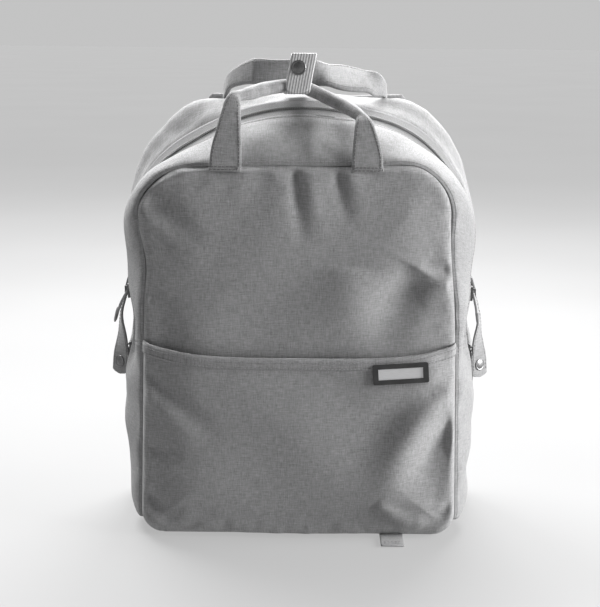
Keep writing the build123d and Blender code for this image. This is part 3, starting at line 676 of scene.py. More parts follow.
def metal(name, dark, light, roughness=0.34):
    """Plated metal, a little worn, with fine scratches."""
    s = Shader(name, roughness, metallic=0.9)
    smear = s.noise(s.place(), 260.0, 4.0)
    scratches = s.noise(s.stretched(s.place(), (5200, 5200, 420)), 1.0, 3.0)
    s.colour(smear, dark, light)
    s.surface_is("Roughness", s.spread(scratches, roughness - 0.1, roughness + 0.16))
    s.bump(scratches, 0.05, 0.5)
    return s.material


def moulded(name, dark, light, roughness=0.5, grain=1800.0):
    """Moulded rubber or plastic with a fine grain."""
    s = Shader(name, roughness)
    speckle = s.noise(s.place(), grain, 3.0)
    patch = s.noise(s.place(), 120.0, 3.0)
    s.colour(patch, dark, light)
    s.surface_is("Roughness", s.spread(patch, roughness - 0.08, roughness + 0.1))
    s.bump(speckle, 0.09, 0.7)
    return s.material


def brushed(name, dark, light):
    """Brushed plate: fine lines along its length."""
    s = Shader(name, 0.42, metallic=0.55)
    lines = s.noise(s.stretched(s.place(), (160, 160, 9000)), 1.0, 3.0)
    s.colour(lines, dark, light)
    s.bump(lines, 0.03, 0.5)
    return s.material


def twisted(name, dark, light):
    """Sewing thread and cord: tight twisted fibres."""
    s = Shader(name, 0.7, specular=0.35, sheen=0.3)
    fibres = s.noise(s.stretched(s.place(), (2600, 2600, 5200)), 1.0, 3.0)
    s.colour(fibres, dark, light)
    s.bump(fibres, 0.12, 0.8)
    return s.material


SHELL = woven("melange_shell", 0.14, 0.305)
BINDING = woven("edge_binding", 0.12, 0.28, thread=0.5, wear=0.08)
BACK_CLOTH = woven("back_cloth", 0.03, 0.085, thread=0.7)
LINING = woven("lining_cloth", 0.2, 0.36, thread=0.42, sheen=0.1, wear=0.05)
WEBBING = ribbed("grey_webbing", 0.13, 0.36, rib=1.9)
RIBBED_WRAP = ribbed("ribbed_wrap", 0.16, 0.5, rib=2.3, lengthwise=True)
DARK_WEBBING = ribbed("dark_webbing", 0.03, 0.10, rib=1.5)
TAPE = herringbone("zip_tape", 0.15, 0.28)
TEETH = moulded("zip_coil", 0.13, 0.22, roughness=0.38)
MESH = air_mesh("air_mesh", 0.02, 0.13)
THREAD = twisted("sewing_thread", 0.14, 0.28)
# A darker copy of the sewing thread: painted shade for the stitches on the front handle.
PAINTED_SHADE_THREAD = twisted("painted_shade_thread", 0.04, 0.1)
CORD = twisted("pull_cord", 0.2, 0.42)
PULL_END = moulded("pull_end", 0.22, 0.34, roughness=0.55)
GUNMETAL = metal("gunmetal", 0.07, 0.16)
SNAP = metal("snap_metal", 0.10, 0.2, roughness=0.34)
RUBBER = moulded("label_rubber", 0.012, 0.03, roughness=0.48)
PLATE = brushed("label_plate", 0.5, 0.64)
PLASTIC = moulded("buckle_plastic", 0.015, 0.035, roughness=0.4)


# ---- the front flap ----
def eased_shares(count, push=0.75):
    """Shares from 0 to 1 that lie closer together near both ends."""
    t = np.linspace(0, 1, count)
    return (1 - push) * t + push * (0.5 - 0.5 * np.cos(np.pi * t))


def shell(name, points, body, weave, *nodes, lining=None, keep=None, gap=LINING_GAP, **shape):
    """Outer cloth over a grid of points and the lining inside it, both on one body."""
    place(cloth(name, points, SHELL, weave, keep=keep, **shape), body, "shell_fabric", *nodes)
    inside = inner_layer(lining or f"{name}_lining", points, LINING, weave, keep=keep, gap=gap)
    place(inside, body, "lining")


def coons(bottom, top, left, right, across, up):
    """Grid of points inside four edges."""
    s = across[None, :, None]
    t = up[:, None, None]
    patch = (1 - t) * bottom[None] + t * top[None] + (1 - s) * left[:, None] + s * right[:, None]
    corners = ((1 - s) * (1 - t) * bottom[0] + s * (1 - t) * bottom[-1]
               + (1 - s) * t * top[0] + s * t * top[-1])
    return patch - corners


def fill_outline(outline, corner, columns, rows):
    """Grid inside an open outline that runs from its right foot over the top to its left foot.
    corner is how many points from each foot the grid's upper corners lie."""
    across, up = eased_shares(columns), eased_shares(rows)
    right = resample(outline[:corner + 1], up)
    left = resample(outline[::-1][:corner + 1], up)
    top = resample(outline[corner:-corner][::-1], across)
    bottom = resample([left[0], right[0]], across)
    return coons(bottom, top, left, right, across, up)


def roll(gap, height, width):
    """Height of a rolled edge at a distance from its seam."""
    return height * (1 - np.exp(-np.maximum(gap, 0) / width))


FLAP_FOLDS = [
    ([(-130, 300), (-108, 282), (-82, 254)], 10, -2.4),
    ([(-130, 286), (-104, 266), (-76, 238)], 10, 1.6),
    ([(-4, 334), (-3, 302), (3, 256)], 5, -2.6),
    ([(9, 334), (11, 300), (20, 258)], 9, 1.5),
    ([(-18, 334), (-18, 300), (-14, 268)], 10, 0.8),
    ([(30, 334), (32, 306), (39, 276)], 4.5, -2.2),
    ([(43, 334), (46, 304), (56, 276)], 9, 1.2),
    ([(-42, 330), (-47, 306), (-54, 284)], 9, 0.8),
    ([(98, 238), (84, 212), (73, 188), (76, 158)], 18, -6.4),
    ([(134, 238), (118, 236), (100, 240)], 6, -2.8),
    ([(134, 226), (116, 222), (98, 212)], 9, 3.0),
    ([(44, 240), (40, 212), (42, 178)], 22, 2.4),
    ([(-130, 216), (-112, 196), (-100, 172)], 11, -2.0),
    ([(-126, 204), (-96, 188), (-66, 176)], 13, 1.2),
]
FOLD_STRENGTH = 1.35       # all of the flap's folds are this much stronger than listed
FLAP_HIDDEN = 24           # how far the flap's cloth runs down behind the pocket
FLAP_EDGE, FLAP_DOME = 5.2, 7.5    # height of the flap's rolled edge, and of its middle above that


def flap_front():
    levels = levels_up(SEAM, FOLD_Z - FLAP_HIDDEN)
    outline = arch(SEAM, levels)
    flat = fill_outline(outline, SIDE_STEPS + SHOULDER_STEPS // 2, 190, 150)
    gap, _ = nearest(flat, outline)
    height = roll(gap, FLAP_EDGE, 2.6) + FLAP_DOME * (1 - bell(gap / 34))
    height += FOLD_STRENGTH * creases(flat, FLAP_FOLDS) * smooth_step(gap / 7)
    height += ripple(flat, 15, 3) * 0.55 * np.exp(-gap / 13) * smooth_step(gap / 3)
    height += ripple(flat, 70, 4) * 0.7 * smooth_step(gap / 20)
    lower = smooth_step((flat[..., 1] - (FOLD_Z - FLAP_HIDDEN)) / (FLAP_HIDDEN - 6))
    height *= 0.3 + 0.7 * lower
    points = settle(np.stack([flat[..., 0], SEAM_Y - height, flat[..., 1]], -1))
    shell("flap_front", points, "flap_fold", flat, "upper_front_panel")


def band(sections, levels_of, puff):
    """Grid over the arched sections at each depth, moved outwards by puff(run across)."""
    points = np.stack([at_depth(arch(s, levels_of(s)), s.y) for s in sections])
    normal = outward(points)
    middle = points.shape[1] // 2
    across = run_of(points[:, middle])
    points = points + normal * puff(across)[:, None, None]
    along = run_of(points[len(points) // 2])
    weave = np.stack(np.meshgrid(along, across), -1)
    return points, weave, normal


def flap_gusset():
    depths = SEAM_Y + (ZIP_FRONT_Y - SEAM_Y) * eased_shares(34, 0.6)
    sections = [section_at(y) for y in depths]

    def puff(across):
        share = across / across[-1]
        return roll(across, 3.2, 2.4) + 2.6 * np.sin(np.pi * share) - 1.6 * smooth_step(share * 5 - 4)

    points, weave, normal = band(sections, lambda s: levels_up(s, FOLD_Z - 0.4), puff)
    seam_gap = run_of(points[:, points.shape[1] // 2])[:, None]
    wrinkle = ripple(points, 17, 8) * np.exp(-seam_gap / 10) * smooth_step(seam_gap / 3)
    points += normal * (0.6 * wrinkle + 0.7 * ripple(points, 48, 9))[..., None]
    dents = [
        ((141, -22, 226), (14, 15, 22), -3.6), ((-140, -24, 232), (12, 14, 26), -2.6),
        ((-8, -27, 346), (10, 16, 16), -3.4), ((27, -27, 344), (13, 16, 16), -4.2),
        ((9, -32, 338), (7, 12, 14), 2.6), ((-34, -30, 340), (12, 14, 14), 2.0),
        ((62, -30, 338), (10, 14, 16), 1.8),
    ]
    for centre, reach, depth in dents:
        points += normal * (depth * near(points, centre, reach))[..., None]
    points = settle(points)
    shell("flap_gusset", points, "flap_fold", weave, "upper_front_gusset")
    stitching.grid_row("flap_fold", points, -4, 0.15)
    stitching.grid_row("flap_fold", points, 3, 0.1)


# ---- the bag's sides, back and bottom ----
def rear_levels(section):
    """Heights up the side, with exact rows at the ends of the zips."""
    low, high = BASE_TOP_Z, ZIP.side_top
    marks = [low, SIDE_ZIP_LOW, SIDE_ZIP_HIGH, FOLD_Z, high]
    counts = [6, 34, 4, 20]
    rows = [np.linspace(a, b, n, endpoint=False) for a, b, n in zip(marks, marks[1:], counts)]
    even = np.concatenate([*rows, [high]])
    return low + (even - low) * (section.side_top - low) / (high - low)


def rear_shell():
    depths = np.concatenate([
        np.linspace(ZIP_FRONT_Y, ZIP_REAR_Y, 7)[:-1],
        ZIP_REAR_Y + (SEAM_BACK_Y - ZIP_REAR_Y) * eased_shares(34, 0.6),
    ])
    sections = [section_at(y) for y in depths]
    edge = depths - ZIP_REAR_Y

    def puff(_):
        back = SEAM_BACK_Y - depths
        opened = 1.2 * smooth_step(edge / 6) - 0.6
        return opened + roll(back, 2.6, 2.2) * smooth_step((depths - 20) / 20)

    points, weave, normal = band(sections, rear_levels, puff)
    away = smooth_step((points[..., 1] - ZIP_REAR_Y) / 12)
    rough = away * (0.9 * ripple(points, 52, 12) + 0.3 * ripple(points, 18, 13))
    points = settle(points + normal * rough[..., None])
    middle = (points[:-1, :-1] + points[1:, 1:]) / 2
    in_zip = np.abs(middle[..., 1]) < ZIP_REAR_Y - 0.2
    main = middle[..., 2] > FOLD_Z - 1
    side = (middle[..., 2] > SIDE_ZIP_LOW) & (middle[..., 2] < SIDE_ZIP_HIGH)
    keep = ~(in_zip & (main | side))
    shell("rear_shell", points, "bag", weave, "rear_gusset", lining="rear_lining", keep=keep)
    stitching.grid_row("bag", points, 8, 0.15, points[0, :, 2] > FOLD_Z)
    stitching.grid_row("bag", points, -5, 0.1)


def lower_sides():
    for side, sign in SIDES.items():
        levels = np.linspace(BASE_TOP_Z, SIDE_TOP_Z + 0.4, 60)
        depths = SEAM_Y + (ZIP_FRONT_Y - SEAM_Y) * eased_shares(30, 0.6)
        x = np.stack([sign * side_x(section_at(y), levels) for y in depths])
        points = np.stack(np.broadcast_arrays(x, depths[:, None], levels), -1)
        normal = outward(points)
        across = run_of(points[:, 20])
        gap = across[:, None]
        swell = roll(gap, 3.0, 2.4) + 1.6 * np.sin(np.pi * gap / across[-1])
        swell = swell - 1.2 * smooth_step(gap / across[-1] * 5 - 4)
        swell = swell + 0.8 * ripple(points, 40, 21) * smooth_step(gap / 8)
        points = settle(points + normal * swell[..., None])
        weave = np.stack(np.meshgrid(levels, across), -1)
        node = f"lower_side_{side}"
        shell(f"{node}_cloth", points, "bag", weave, node, lining=f"{node}_lining")
        stitching.grid_row("bag", points, 3, 0.1)


def bottom():
    depths = np.linspace(SEAM_Y, SEAM_BACK_Y, 44)
    rows = []
    for y in depths:
        section = section_at(y)
        levels = np.linspace(BASE_TOP_Z, 0, 14)
        right = np.stack([side_x(section, levels), levels], -1)
        flat_x = np.linspace(right[-1, 0], 0, 30)[1:]
        half = np.vstack([right, np.stack([flat_x, np.zeros_like(flat_x)], -1)])
        rows.append(at_depth(mirrored(half), y))
    points = settle(np.stack(rows))
    along = run_of(points[20])
    weave = np.stack(np.meshgrid(along, depths), -1)
    shell("base", points, "bag", weave, "bottom_panel")


BASE_STEPS, CORNER_STEPS, UPRIGHT_STEPS = 24, 14, 39


def full_outline(section, low=1.0):
    """Right half of a closed outline, from the middle of the bottom to the crown."""
    corner = np.linspace(low, section.corner, CORNER_STEPS)
    levels = np.concatenate([corner, np.linspace(section.corner, section.side_top, UPRIGHT_STEPS + 1)[1:]])
    half = half_arch(section, levels)
    x = np.linspace(0, half[0, 0], BASE_STEPS, endpoint=False)
    return np.vstack([np.stack([x, np.full_like(x, low)], -1), half])


def back_panel():
    outline = mirrored(full_outline(KNOTS[-1]))
    open_ring = outline[BASE_STEPS:1 - BASE_STEPS]
    corner = CORNER_STEPS + UPRIGHT_STEPS + SHOULDER_STEPS // 2
    flat = fill_outline(open_ring, corner, 120, 130)
    gap, _ = nearest(flat, outline)
    height = roll(gap, BACK_FACE_Y - SEAM_BACK_Y, 3.0)
    height += 0.5 * ripple(flat, 46, 31) * smooth_step(gap / 14)
    points = settle(np.stack([flat[..., 0], SEAM_BACK_Y + height, flat[..., 1]], -1))
    place(cloth("back_cloth", points, BACK_CLOTH, flat), "bag", "shell_fabric", "back_panel")
    place(inner_layer("back_lining", points, LINING, flat, gap=5.0), "bag", "lining")


# ---- the slip pocket ----
POCKET_FOLDS = [
    ([(-138, 156), (-112, 134), (-88, 112), (-64, 88)], 8, -3.2),
    ([(-138, 140), (-112, 116), (-86, 90)], 9, 2.0),
    ([(-138, 82), (-120, 79), (-98, 80)], 7, -2.6),
    ([(-136, 66), (-114, 62), (-92, 66)], 9, 1.6),
    ([(-134, 38), (-119, 27), (-100, 18)], 10, -3.8),
    ([(132, 144), (108, 118), (89, 92), (77, 62), (70, 26)], 14, 7.0),
    ([(140, 112), (122, 92), (109, 66), (104, 34)], 14, -8.6),
    ([(66, 36), (88, 20), (116, 9)], 8, 3.2),
    ([(136, 34), (122, 22), (104, 18)], 6, -3.0),
    ([(96, 140), (74, 112), (58, 84), (50, 50)], 16, -1.8),
    ([(-60, 150), (-30, 120), (-20, 80)], 26, 1.0),
    ([(16, 150), (8, 100), (14, 40)], 28, 1.2),
    ([(134, 152), (114, 140), (94, 134)], 9, -1.8),
]
HEM_LOW_Z, HEM_RISE = 163.5, 11.0
POCKET_BASE_Z = 0.6
POCKET_EDGE = 11.5         # height of the pocket's rolled edge above its seam
CORNER_LIFT = 9.0          # how far the pocket's lower corners turn up


def hem_height(x):
    """Height of the pocket's mouth, which sags in the middle."""
    share = np.abs(np.asarray(x, float)) / SEAM.foot
    return HEM_LOW_Z + HEM_RISE * share**3.6


def pocket_outline():
    """The pocket's flat outline without its mouth, and its right side on its own."""
    top = float(hem_height(SEAM.foot - 4))
    corner = np.linspace(POCKET_BASE_Z, SEAM.corner, 16)
    levels = np.concatenate([corner, np.linspace(SEAM.corner, top, 60)[1:]])
    side = np.stack([side_x(SEAM, levels), levels], -1)
    x = np.linspace(0, side[0, 0], 30, endpoint=False)
    half = np.vstack([np.stack([x, np.full_like(x, POCKET_BASE_Z)], -1), side])
    return np.vstack([half[::-1] * np.array([-1, 1]), half[1:]]), side


def pocket_flat():
    """Grid inside the pocket's outline, and each point's distance from its seam."""
    outline, side = pocket_outline()
    across, up = eased_shares(210), eased_shares(150)
    split = 8              # the grid's lower corners lie this many points up the sides
    right = resample(side[split:], up)
    left = right * np.array([-1, 1])
    low = len(side) - split
    bottom = resample(outline[low - 1:-low + 1], across)
    top_x = left[-1, 0] + (right[-1, 0] - left[-1, 0]) * across
    mouth = np.stack([top_x, hem_height(top_x)], -1)
    flat = coons(bottom, mouth, left, right, across, up)
    return flat, nearest(flat, outline)[0]


def pocket_grid():
    """Grid of the pocket's outer face, and its place on the flat cloth."""
    flat, gap = pocket_flat()
    depth = SEAM_Y - POCKET_FACE_Y
    height = roll(gap, POCKET_EDGE, 2.0) + (depth - POCKET_EDGE) * (1 - bell(gap / 30))
    label = middle_of("label_frame")
    seat = np.exp(-((flat[..., 0] - label[0]) / 34) ** 4 - ((flat[..., 1] - label[2]) / 15) ** 4)
    rough = creases(flat, POCKET_FOLDS) * smooth_step(gap / 9)
    rough += ripple(flat, 16, 41) * 0.6 * np.exp(-gap / 14) * smooth_step(gap / 3)
    rough += ripple(flat, 80, 42) * 0.9 * smooth_step(gap / 20)
    near_hem = smooth_step((hem_height(flat[..., 0]) - flat[..., 1]) / 26)
    height += rough * (0.25 + 0.75 * near_hem) * (1 - seat)
    height = height * (1 - seat) + (depth - 0.5) * seat
    near_corner = (flat[..., 0] / SEAM.foot) ** 2 * np.exp(-flat[..., 1] / 16)
    turned_up = CORNER_LIFT * near_corner * smooth_step(height / 12)
    points = np.stack([flat[..., 0], SEAM_Y - height, flat[..., 1] + turned_up], -1)
    return settle(points), flat


def slip_pocket():
    """The pocket's face and the hem that is folded over its mouth."""
    points, flat = pocket_grid()
    shell("pocket_front", points, "bag", flat, "slip_pocket_panel", gap=2.4, thickness=2.0)
    outs = outward(points)
    mouth = points[-1]
    down = np.linalg.norm(points - mouth, axis=-1)
    # the hem's rows up the outside, over the mouth and down the inside, with their places on the cloth
    outside = [(9.5, 0.15), (8, 0.8), (5, 0.95), (2.6, 0.95), (1.0, 0.8), (0.2, 0.4)]
    over = [((0, 0.4, 0.9), 0.5), ((0, 2.4, 0.7), 1.5)]
    inside = (1.0, 4.0, 9.0)
    rows = [below_mouth(points + outs * lift, down, drop) for drop, lift in outside]
    rows += [mouth + np.array(step) for step, _ in over]
    rows += [below_mouth(points - outs * 3.2, down, drop) for drop in inside]
    up = [*(-drop for drop, _ in outside), *(place_on for _, place_on in over), *inside]
    weave = np.stack(np.meshgrid(flat[-1, :, 0], up), -1)
    hem = make_piece("pocket_hem", np.stack(rows), grid_faces(len(rows), len(mouth)), SHELL, weave)
    place(hem, "bag", "shell_fabric", "pocket_binding")
    for drop in (2.4, 7.6):
        path = below_mouth(points + outs * 1.15, down, drop)
        stitching.row("bag", path[3:-3], outs[-1][3:-3])


def below_mouth(points, down, drop):
    """The row of a pocket grid that lies a distance below its mouth."""
    row = np.empty((points.shape[1], 3))
    for c in range(points.shape[1]):
        run = down[::-1, c]
        row[c] = [np.interp(drop, run, points[::-1, c, k]) for k in range(3)]
    return row


def lower_front():
    levels = np.linspace(POCKET_BASE_Z, SIDE_TOP_Z, 40)
    x = np.linspace(-1, 1, 60)
    half = side_x(SEAM, levels) - 1.0
    flat = np.stack(np.broadcast_arrays(half[:, None] * x, levels[:, None]), -1)
    points = np.stack([flat[..., 0], SEAM_Y + 0.8 - 2.2 * bell(flat[..., 0] / 80), flat[..., 1]], -1)
    wall = cloth("lower_front_cloth", points, LINING, flat, thickness=3.0)
    place(wall, "bag", "shell_fabric", "lower_front_wall")


# ---- zips ----
TAPE_EDGE = 2.0            # the tape's inner edge, under the teeth
TOOTH_PITCH = 1.6
TOOTH_REACH = 1.15


def zip_line(y, low, high=None, sign=1):
    """The zip's line at a depth, a little inside the cloth: points in space and the way out."""
    section = section_at(y)
    if high is None:
        outline = arch(section, levels_up(section, low))
    else:
        z = np.linspace(low, high, 60)
        outline = np.stack([side_x(section, z), z], -1)
    ahead = np.gradient(outline, axis=0)
    out = unit(np.stack([ahead[:, 1], -ahead[:, 0]], -1))
    depth = ZIP_INSET - 1.4 * smooth_step((outline[:, 1] - 290) / 50)
    line = (outline - out * depth[:, None]) * np.array([sign, 1])
    out = out * np.array([sign, 1])
    return at_depth(line, y), at_depth(out, 0)


def zip_tape(name, y_low, y_high, *ends):
    """Woven tape between two depths, gently dished towards the teeth."""
    rows = []
    depths = np.linspace(y_low, y_high, 9)
    for y in depths:
        line, out = zip_line(y, *ends)
        rows.append(line + out * 0.9 * (y / ZIP_REAR_Y) ** 2)
    weave = np.stack(np.meshgrid(run_of(rows[4]), depths), -1)[..., ::-1]
    return cloth(name, settle(np.stack(rows)), TAPE, weave, thickness=0.6)


def zip_teeth(name, row, *ends):
    """One row of coil teeth. row is -1 for the front row and 1 for the rear one."""
    line, outs = zip_line(row * 0.95, *ends)
    count = int(run_of(line)[-1] / TOOTH_PITCH)
    shares = (np.arange(count) + (0.25 if row < 0 else 0.75)) / count
    out = unit(resample(np.hstack([line, outs]), shares)[:, 3:])
    centre = settle(resample(line, shares)) + out * 0.55
    across = np.broadcast_to([0.0, 1.0, 0.0], out.shape)
    axes = np.stack([across, np.cross(across, out), out], 1)
    points, faces = bead_mesh(centre, axes, TOOTH_REACH, 0.56, 0.75, sides=7)
    return make_piece(name, points, faces, TEETH)


def zips():
    tape = zip_tape("main_zip_tape_front", ZIP_FRONT_Y - 1, -TAPE_EDGE / 2, FOLD_Z)
    place(tape, "flap_fold", "zip_tape", "zip_tape_front")
    tape = zip_tape("main_zip_tape_rear", TAPE_EDGE / 2, ZIP_REAR_Y + 1, FOLD_Z)
    place(tape, "bag", "zip_tape", "zip_tape_rear")
    place(zip_teeth("main_zip_teeth_front", -1, FOLD_Z), "flap_fold", "zip_coil", "zip_coil_front")
    place(zip_teeth("main_zip_teeth_rear", 1, FOLD_Z), "bag", "zip_coil", "zip_coil_rear")
    for side, sign in SIDES.items():
        ends = (SIDE_ZIP_LOW - 2, SIDE_ZIP_HIGH + 2, sign)
        tape = zip_tape(f"side_zip_tape_{side}", ZIP_FRONT_Y - 1, ZIP_REAR_Y + 1, *ends)
        place(tape, "bag", "zip_tape", f"side_zip_{side}")
        for label, row in (("front", -1), ("rear", 1)):
            teeth = zip_teeth(f"side_zip_teeth_{label}_{side}", row, *ends)
            place(teeth, "bag", "zip_coil")


def upper_pulls():
    """A cord loop with a flared moulded end on each of the main sliders."""
    for side in SIDES:
        low, high = span(f"main_pull_cord_{side}")
        x = (low[0] + high[0]) / 2
        top, foot = high[2] - 0.6, low[2]
        leg = 2.3
        lean = -8.5 if side == "left" else 4.0
        front = [
            (x + lean, leg * 0.5, foot - 2), (x + lean * 0.7, leg, foot + 5),
            (x + lean * 0.3, leg, top - 5), (x, leg * 0.8, top - 0.6),
        ]
        path = curve([*front, (x, 0, top), *((px, -py, pz) for px, py, pz in front[::-1])], 70)
        body = f"upper_pull_{side}"
        place_tube(f"pull_cord_{side}", path, 1.05, 1.05, CORD, body, "pull_cord",
                   f"main_pull_cord_{side}", hint=(1, 0.1, 0.1), sides=14)
        low, high = span(f"main_pull_end_{side}")
        z = np.array([high[2] + 1.4, high[2], high[2] - 2, high[2] - 6, low[2] + 3, low[2] + 0.8, low[2]])
        share = (high[2] - z) / (high[2] - low[2])
        path = np.stack([x + lean * (1 + 0.35 * share), np.zeros(7), z], -1)
        wide = (1.6, 2.3, 2.6, 3.0, 3.9, 3.9, 3.0)
        thick = (1.2, 1.5, 1.6, 1.5, 1.4, 1.3, 0.8)
        stations = np.linspace(0, 6, 26)
        wide, thick = (np.interp(stations, range(7), sizes) for sizes in (wide, thick))
        path = curve(path, len(stations))
        place_tube(f"pull_end_{side}", path, wide, thick, PULL_END, body, "pull_end",
                   f"main_pull_end_{side}", hint=(1, 0, 0), power=3)


PULL_TURN = math.radians(50)   # the flat metal pulls have swung round towards the front


def lower_pulls():
    """A flat metal pull with a knurled face, hung from each side slider's ring."""
    for side, sign in SIDES.items():
        low, high = span(f"side_pull_{side}")
        x, top, foot = (low[0] + high[0]) / 2, high[2], low[2]
        z = np.linspace(top + 1.4, foot, 40)
        path = np.stack([np.full(40, x), np.zeros(40), z], -1)
        share = np.linspace(0, 1, 40)
        wide = 2.4 + 1.5 * smooth_step(share * 1.3) - 1.0 * smooth_step(share * 12 - 11)
        thick = 0.85 - 0.35 * smooth_step(share * 14 - 13)
        face = np.array([sign * math.cos(PULL_TURN), -math.sin(PULL_TURN), 0])
        way = np.array([math.sin(PULL_TURN), sign * math.cos(PULL_TURN), 0])
        place_tube(f"side_pull_plate_{side}", path, wide, thick, GUNMETAL,
                   f"lower_pull_{side}", "slider_metal", f"side_pull_{side}", hint=face, power=5)
        spots, axes = [], []
        for row in range(7):
            for column in (-1, 0, 1):
                across = column * 1.52 + (0.76 if row % 2 else 0) * (1 if column < 1 else -3)
                spots.append(np.array([x, 0, top - 4 - row * 2.1]) + way * across + face * 0.85)
                axes.append((way, (0, 0, 1), face))
        points, faces = bead_mesh(np.array(spots), np.array(axes, float), 0.62, 0.62, 0.4, sides=8)
        knurl = make_piece(f"side_pull_knurl_{side}", points, faces, GUNMETAL)
        place(knurl, f"lower_pull_{side}", "slider_metal")


# ---- carry handles and the snap wrap ----
def box_route(half, low, high):
    """The corners of a box of stitches, once around."""
    return [(-half, low), (half, low), (half, high), (-half, high), (-half, low)]


HALF_WEBBING, HALF_GRIP = 12.5, 6.5


def front_handle():
    """Two flat arms that fold into a round grip, stitched to the flap at their feet."""
    anchor_low, anchor_high = span("front_handle_anchors")
    grip_low, grip_high = span("front_handle_grip")
    left_x, right_x = anchor_low[0] + HALF_WEBBING, anchor_high[0] - HALF_WEBBING
    foot_y, foot_z = anchor_low[1] - 1.6, anchor_low[2] - 4
    mid_x = (grip_low[0] + grip_high[0]) / 2
    top_z = grip_high[2] - HALF_GRIP
    # (x, y, z, half width, half thickness, how round) along the handle, from its left foot
    route = route_from(
        ((left_x, foot_y, foot_z), [
            (1.5, 0.4, 0, 13.2, 1.5, 5.5), (2.2, 0.9, 14, 12.4, 1.5, 5.5), (4, 2.8, 29, 10.6, 1.6, 5),
            (5.8, 6.4, 43, 8.2, 2, 4), (7, 10.2, 53, 7.2, 2.8, 3), (8.6, 13.4, 58, 5.6, 3.6, 2.6),
            (12.6, 18, 59.4, 4.4, 4.4, 2.2),
        ]),
        ((left_x, 0, foot_z), [(20.5, -27, 61, 5.5, 5.3, 2)]),
        ((mid_x, 0, top_z), [
            (-24, -17, -5.6, 5.7, 5.4, 2), (0, -7.6, -3.2, 5.3, 5.2, 2), (12, -8.4, -7.2, 5.4, 5.2, 2),
            (28, -14, -14.2, 5.5, 5.2, 2), (40, -21.5, -19.6, 5.5, 5.2, 2),
        ]),
        ((right_x, 0, top_z), [(-10.5, -29.5, -23.8, 5.4, 4.8, 2.2), (-5.6, -35.5, -27.4, 4.6, 4, 2.6)]),
        ((right_x, foot_y, foot_z), [
            (-4, 10.2, 38.5, 7, 2.6, 3.4), (-2.4, 6, 28, 9.6, 1.7, 5), (-1, 2.4, 14, 12, 1.5, 5.5),
            (-0.4, 0.4, 0, 13.2, 1.5, 5.5),
        ]),
    )
    count = 190
    along = curve(route, count)
    path = along[:, :3]
    wide = along[:, 3] + 0.2 * ripple(path, 14, 51)
    thick = along[:, 4] + 0.2 * ripple(path, 12, 52)
    power = along[:, 5]
    fold = smooth_step((thick - 1.6) / 2.4)
    hint = (0, -1, 0.25)
    nodes = ("front_handle_anchors", "front_handle_grip", "front_handle_straps")
    place_tube("front_handle", path, wide, thick, SHELL, "handle_fold", "shell_fabric", *nodes,
               hint=hint, power=power, sides=44)
    shift = (wide - 2.0) * (1 - 0.3 * fold)
    lift = (thick + 0.1) * np.where(fold > 0.3, 0.86, 1.0)
    # These stitches use the darker thread, which paints in the shade on the handle.
    for end in (slice(3, 50), slice(count - 50, count - 3)):
        painted_shade_stitching.edges("handle_fold", path[end], hint, shift[end], lift[end])
    for x in (left_x, right_x):
        box = box_route(11.4, foot_z + 1.4, foot_z + 3.8)
        row = [(x + px, foot_y - 1.25, pz) for px, pz in box]
        painted_shade_stitching.row("front_flap", evenly(row, 60), (0, -1, 0))


def rear_handle():
    """A wide band that stands behind the grip and turns over into the bag's top at both ends."""
    low, high = span("rear_handle")
    mid_x, half = (low[0] + high[0]) / 2, (high[0] - low[0]) / 2
    front_y, top = low[1] + 2.5, high[2] - 9.6
    crown = low[2] - 10
    # (x, y, z, half width, which way its face turns in degrees) along the band, from its left end
    route = route_from(
        ((mid_x - half, front_y, crown), [(2, 38, 0, 6.5, -88), (1.5, 34, 8, 6.5, -80)]),
        ((mid_x - half, front_y, top), [(6, 27, -9.5, 7, -66), (17, 14, -3.2, 9, -52)]),
        ((mid_x, front_y, top), [
            (-43.5, 4.5, -0.2, 10.2, -42), (-39, 1.8, 0.2, 10.4, -8), (-24, 0, 0.2, 10.4, 0),
            (-4, 0, 0, 10.2, 0), (14, 0.5, -1.4, 11.2, 0), (30, 3.5, -4.2, 15, 4),
            (45, 8, -6.4, 14.5, 8), (59, 12, -9.2, 11.6, 18),
        ]),
        ((mid_x + half, front_y, top), [(-1, 22, -14, 8, 46), (1.6, 31, -19.5, 6.4, 76)]),
        ((mid_x + half, front_y, crown), [(2, 38, -1, 6.5, 88)]),
    )
    count = 170
    along = curve(route, count)
    path = along[:, :3]
    wide = along[:, 3] + 0.35 * ripple(path, 22, 61)
    thick = 2.3 + 0.5 * smooth_step((wide - 7) / 3)
    turn = np.radians(along[:, 4])
    x = path[:, 0] - mid_x
    leaned_back = smooth_step((x - 8) / 16) * smooth_step((half - 4 - x) / 14)
    hint = np.stack([np.sin(turn), -np.cos(turn), 0.15 + 1.05 * leaned_back], -1)
    body = "rear_carry_handle"
    place_tube("rear_handle_band", path, wide, thick, SHELL, body, "shell_fabric", "rear_handle",
               hint=hint, power=3.4, sides=40)
    stitching.edges(body, path, hint, wide - 2.6, thick * 0.86, slice(12, -12), faces=(-1, 1))


WRAP_LEAN, WRAP_MIDDLE_Z = 0.18, 392     # the wrap leans to its right going up


def lean(points):
    """Shear the wrap's pieces sideways with height, about the middle of the wrap."""
    moved = np.array(points, float)
    moved[..., 0] += WRAP_LEAN * (moved[..., 2] - WRAP_MIDDLE_Z)
    return moved


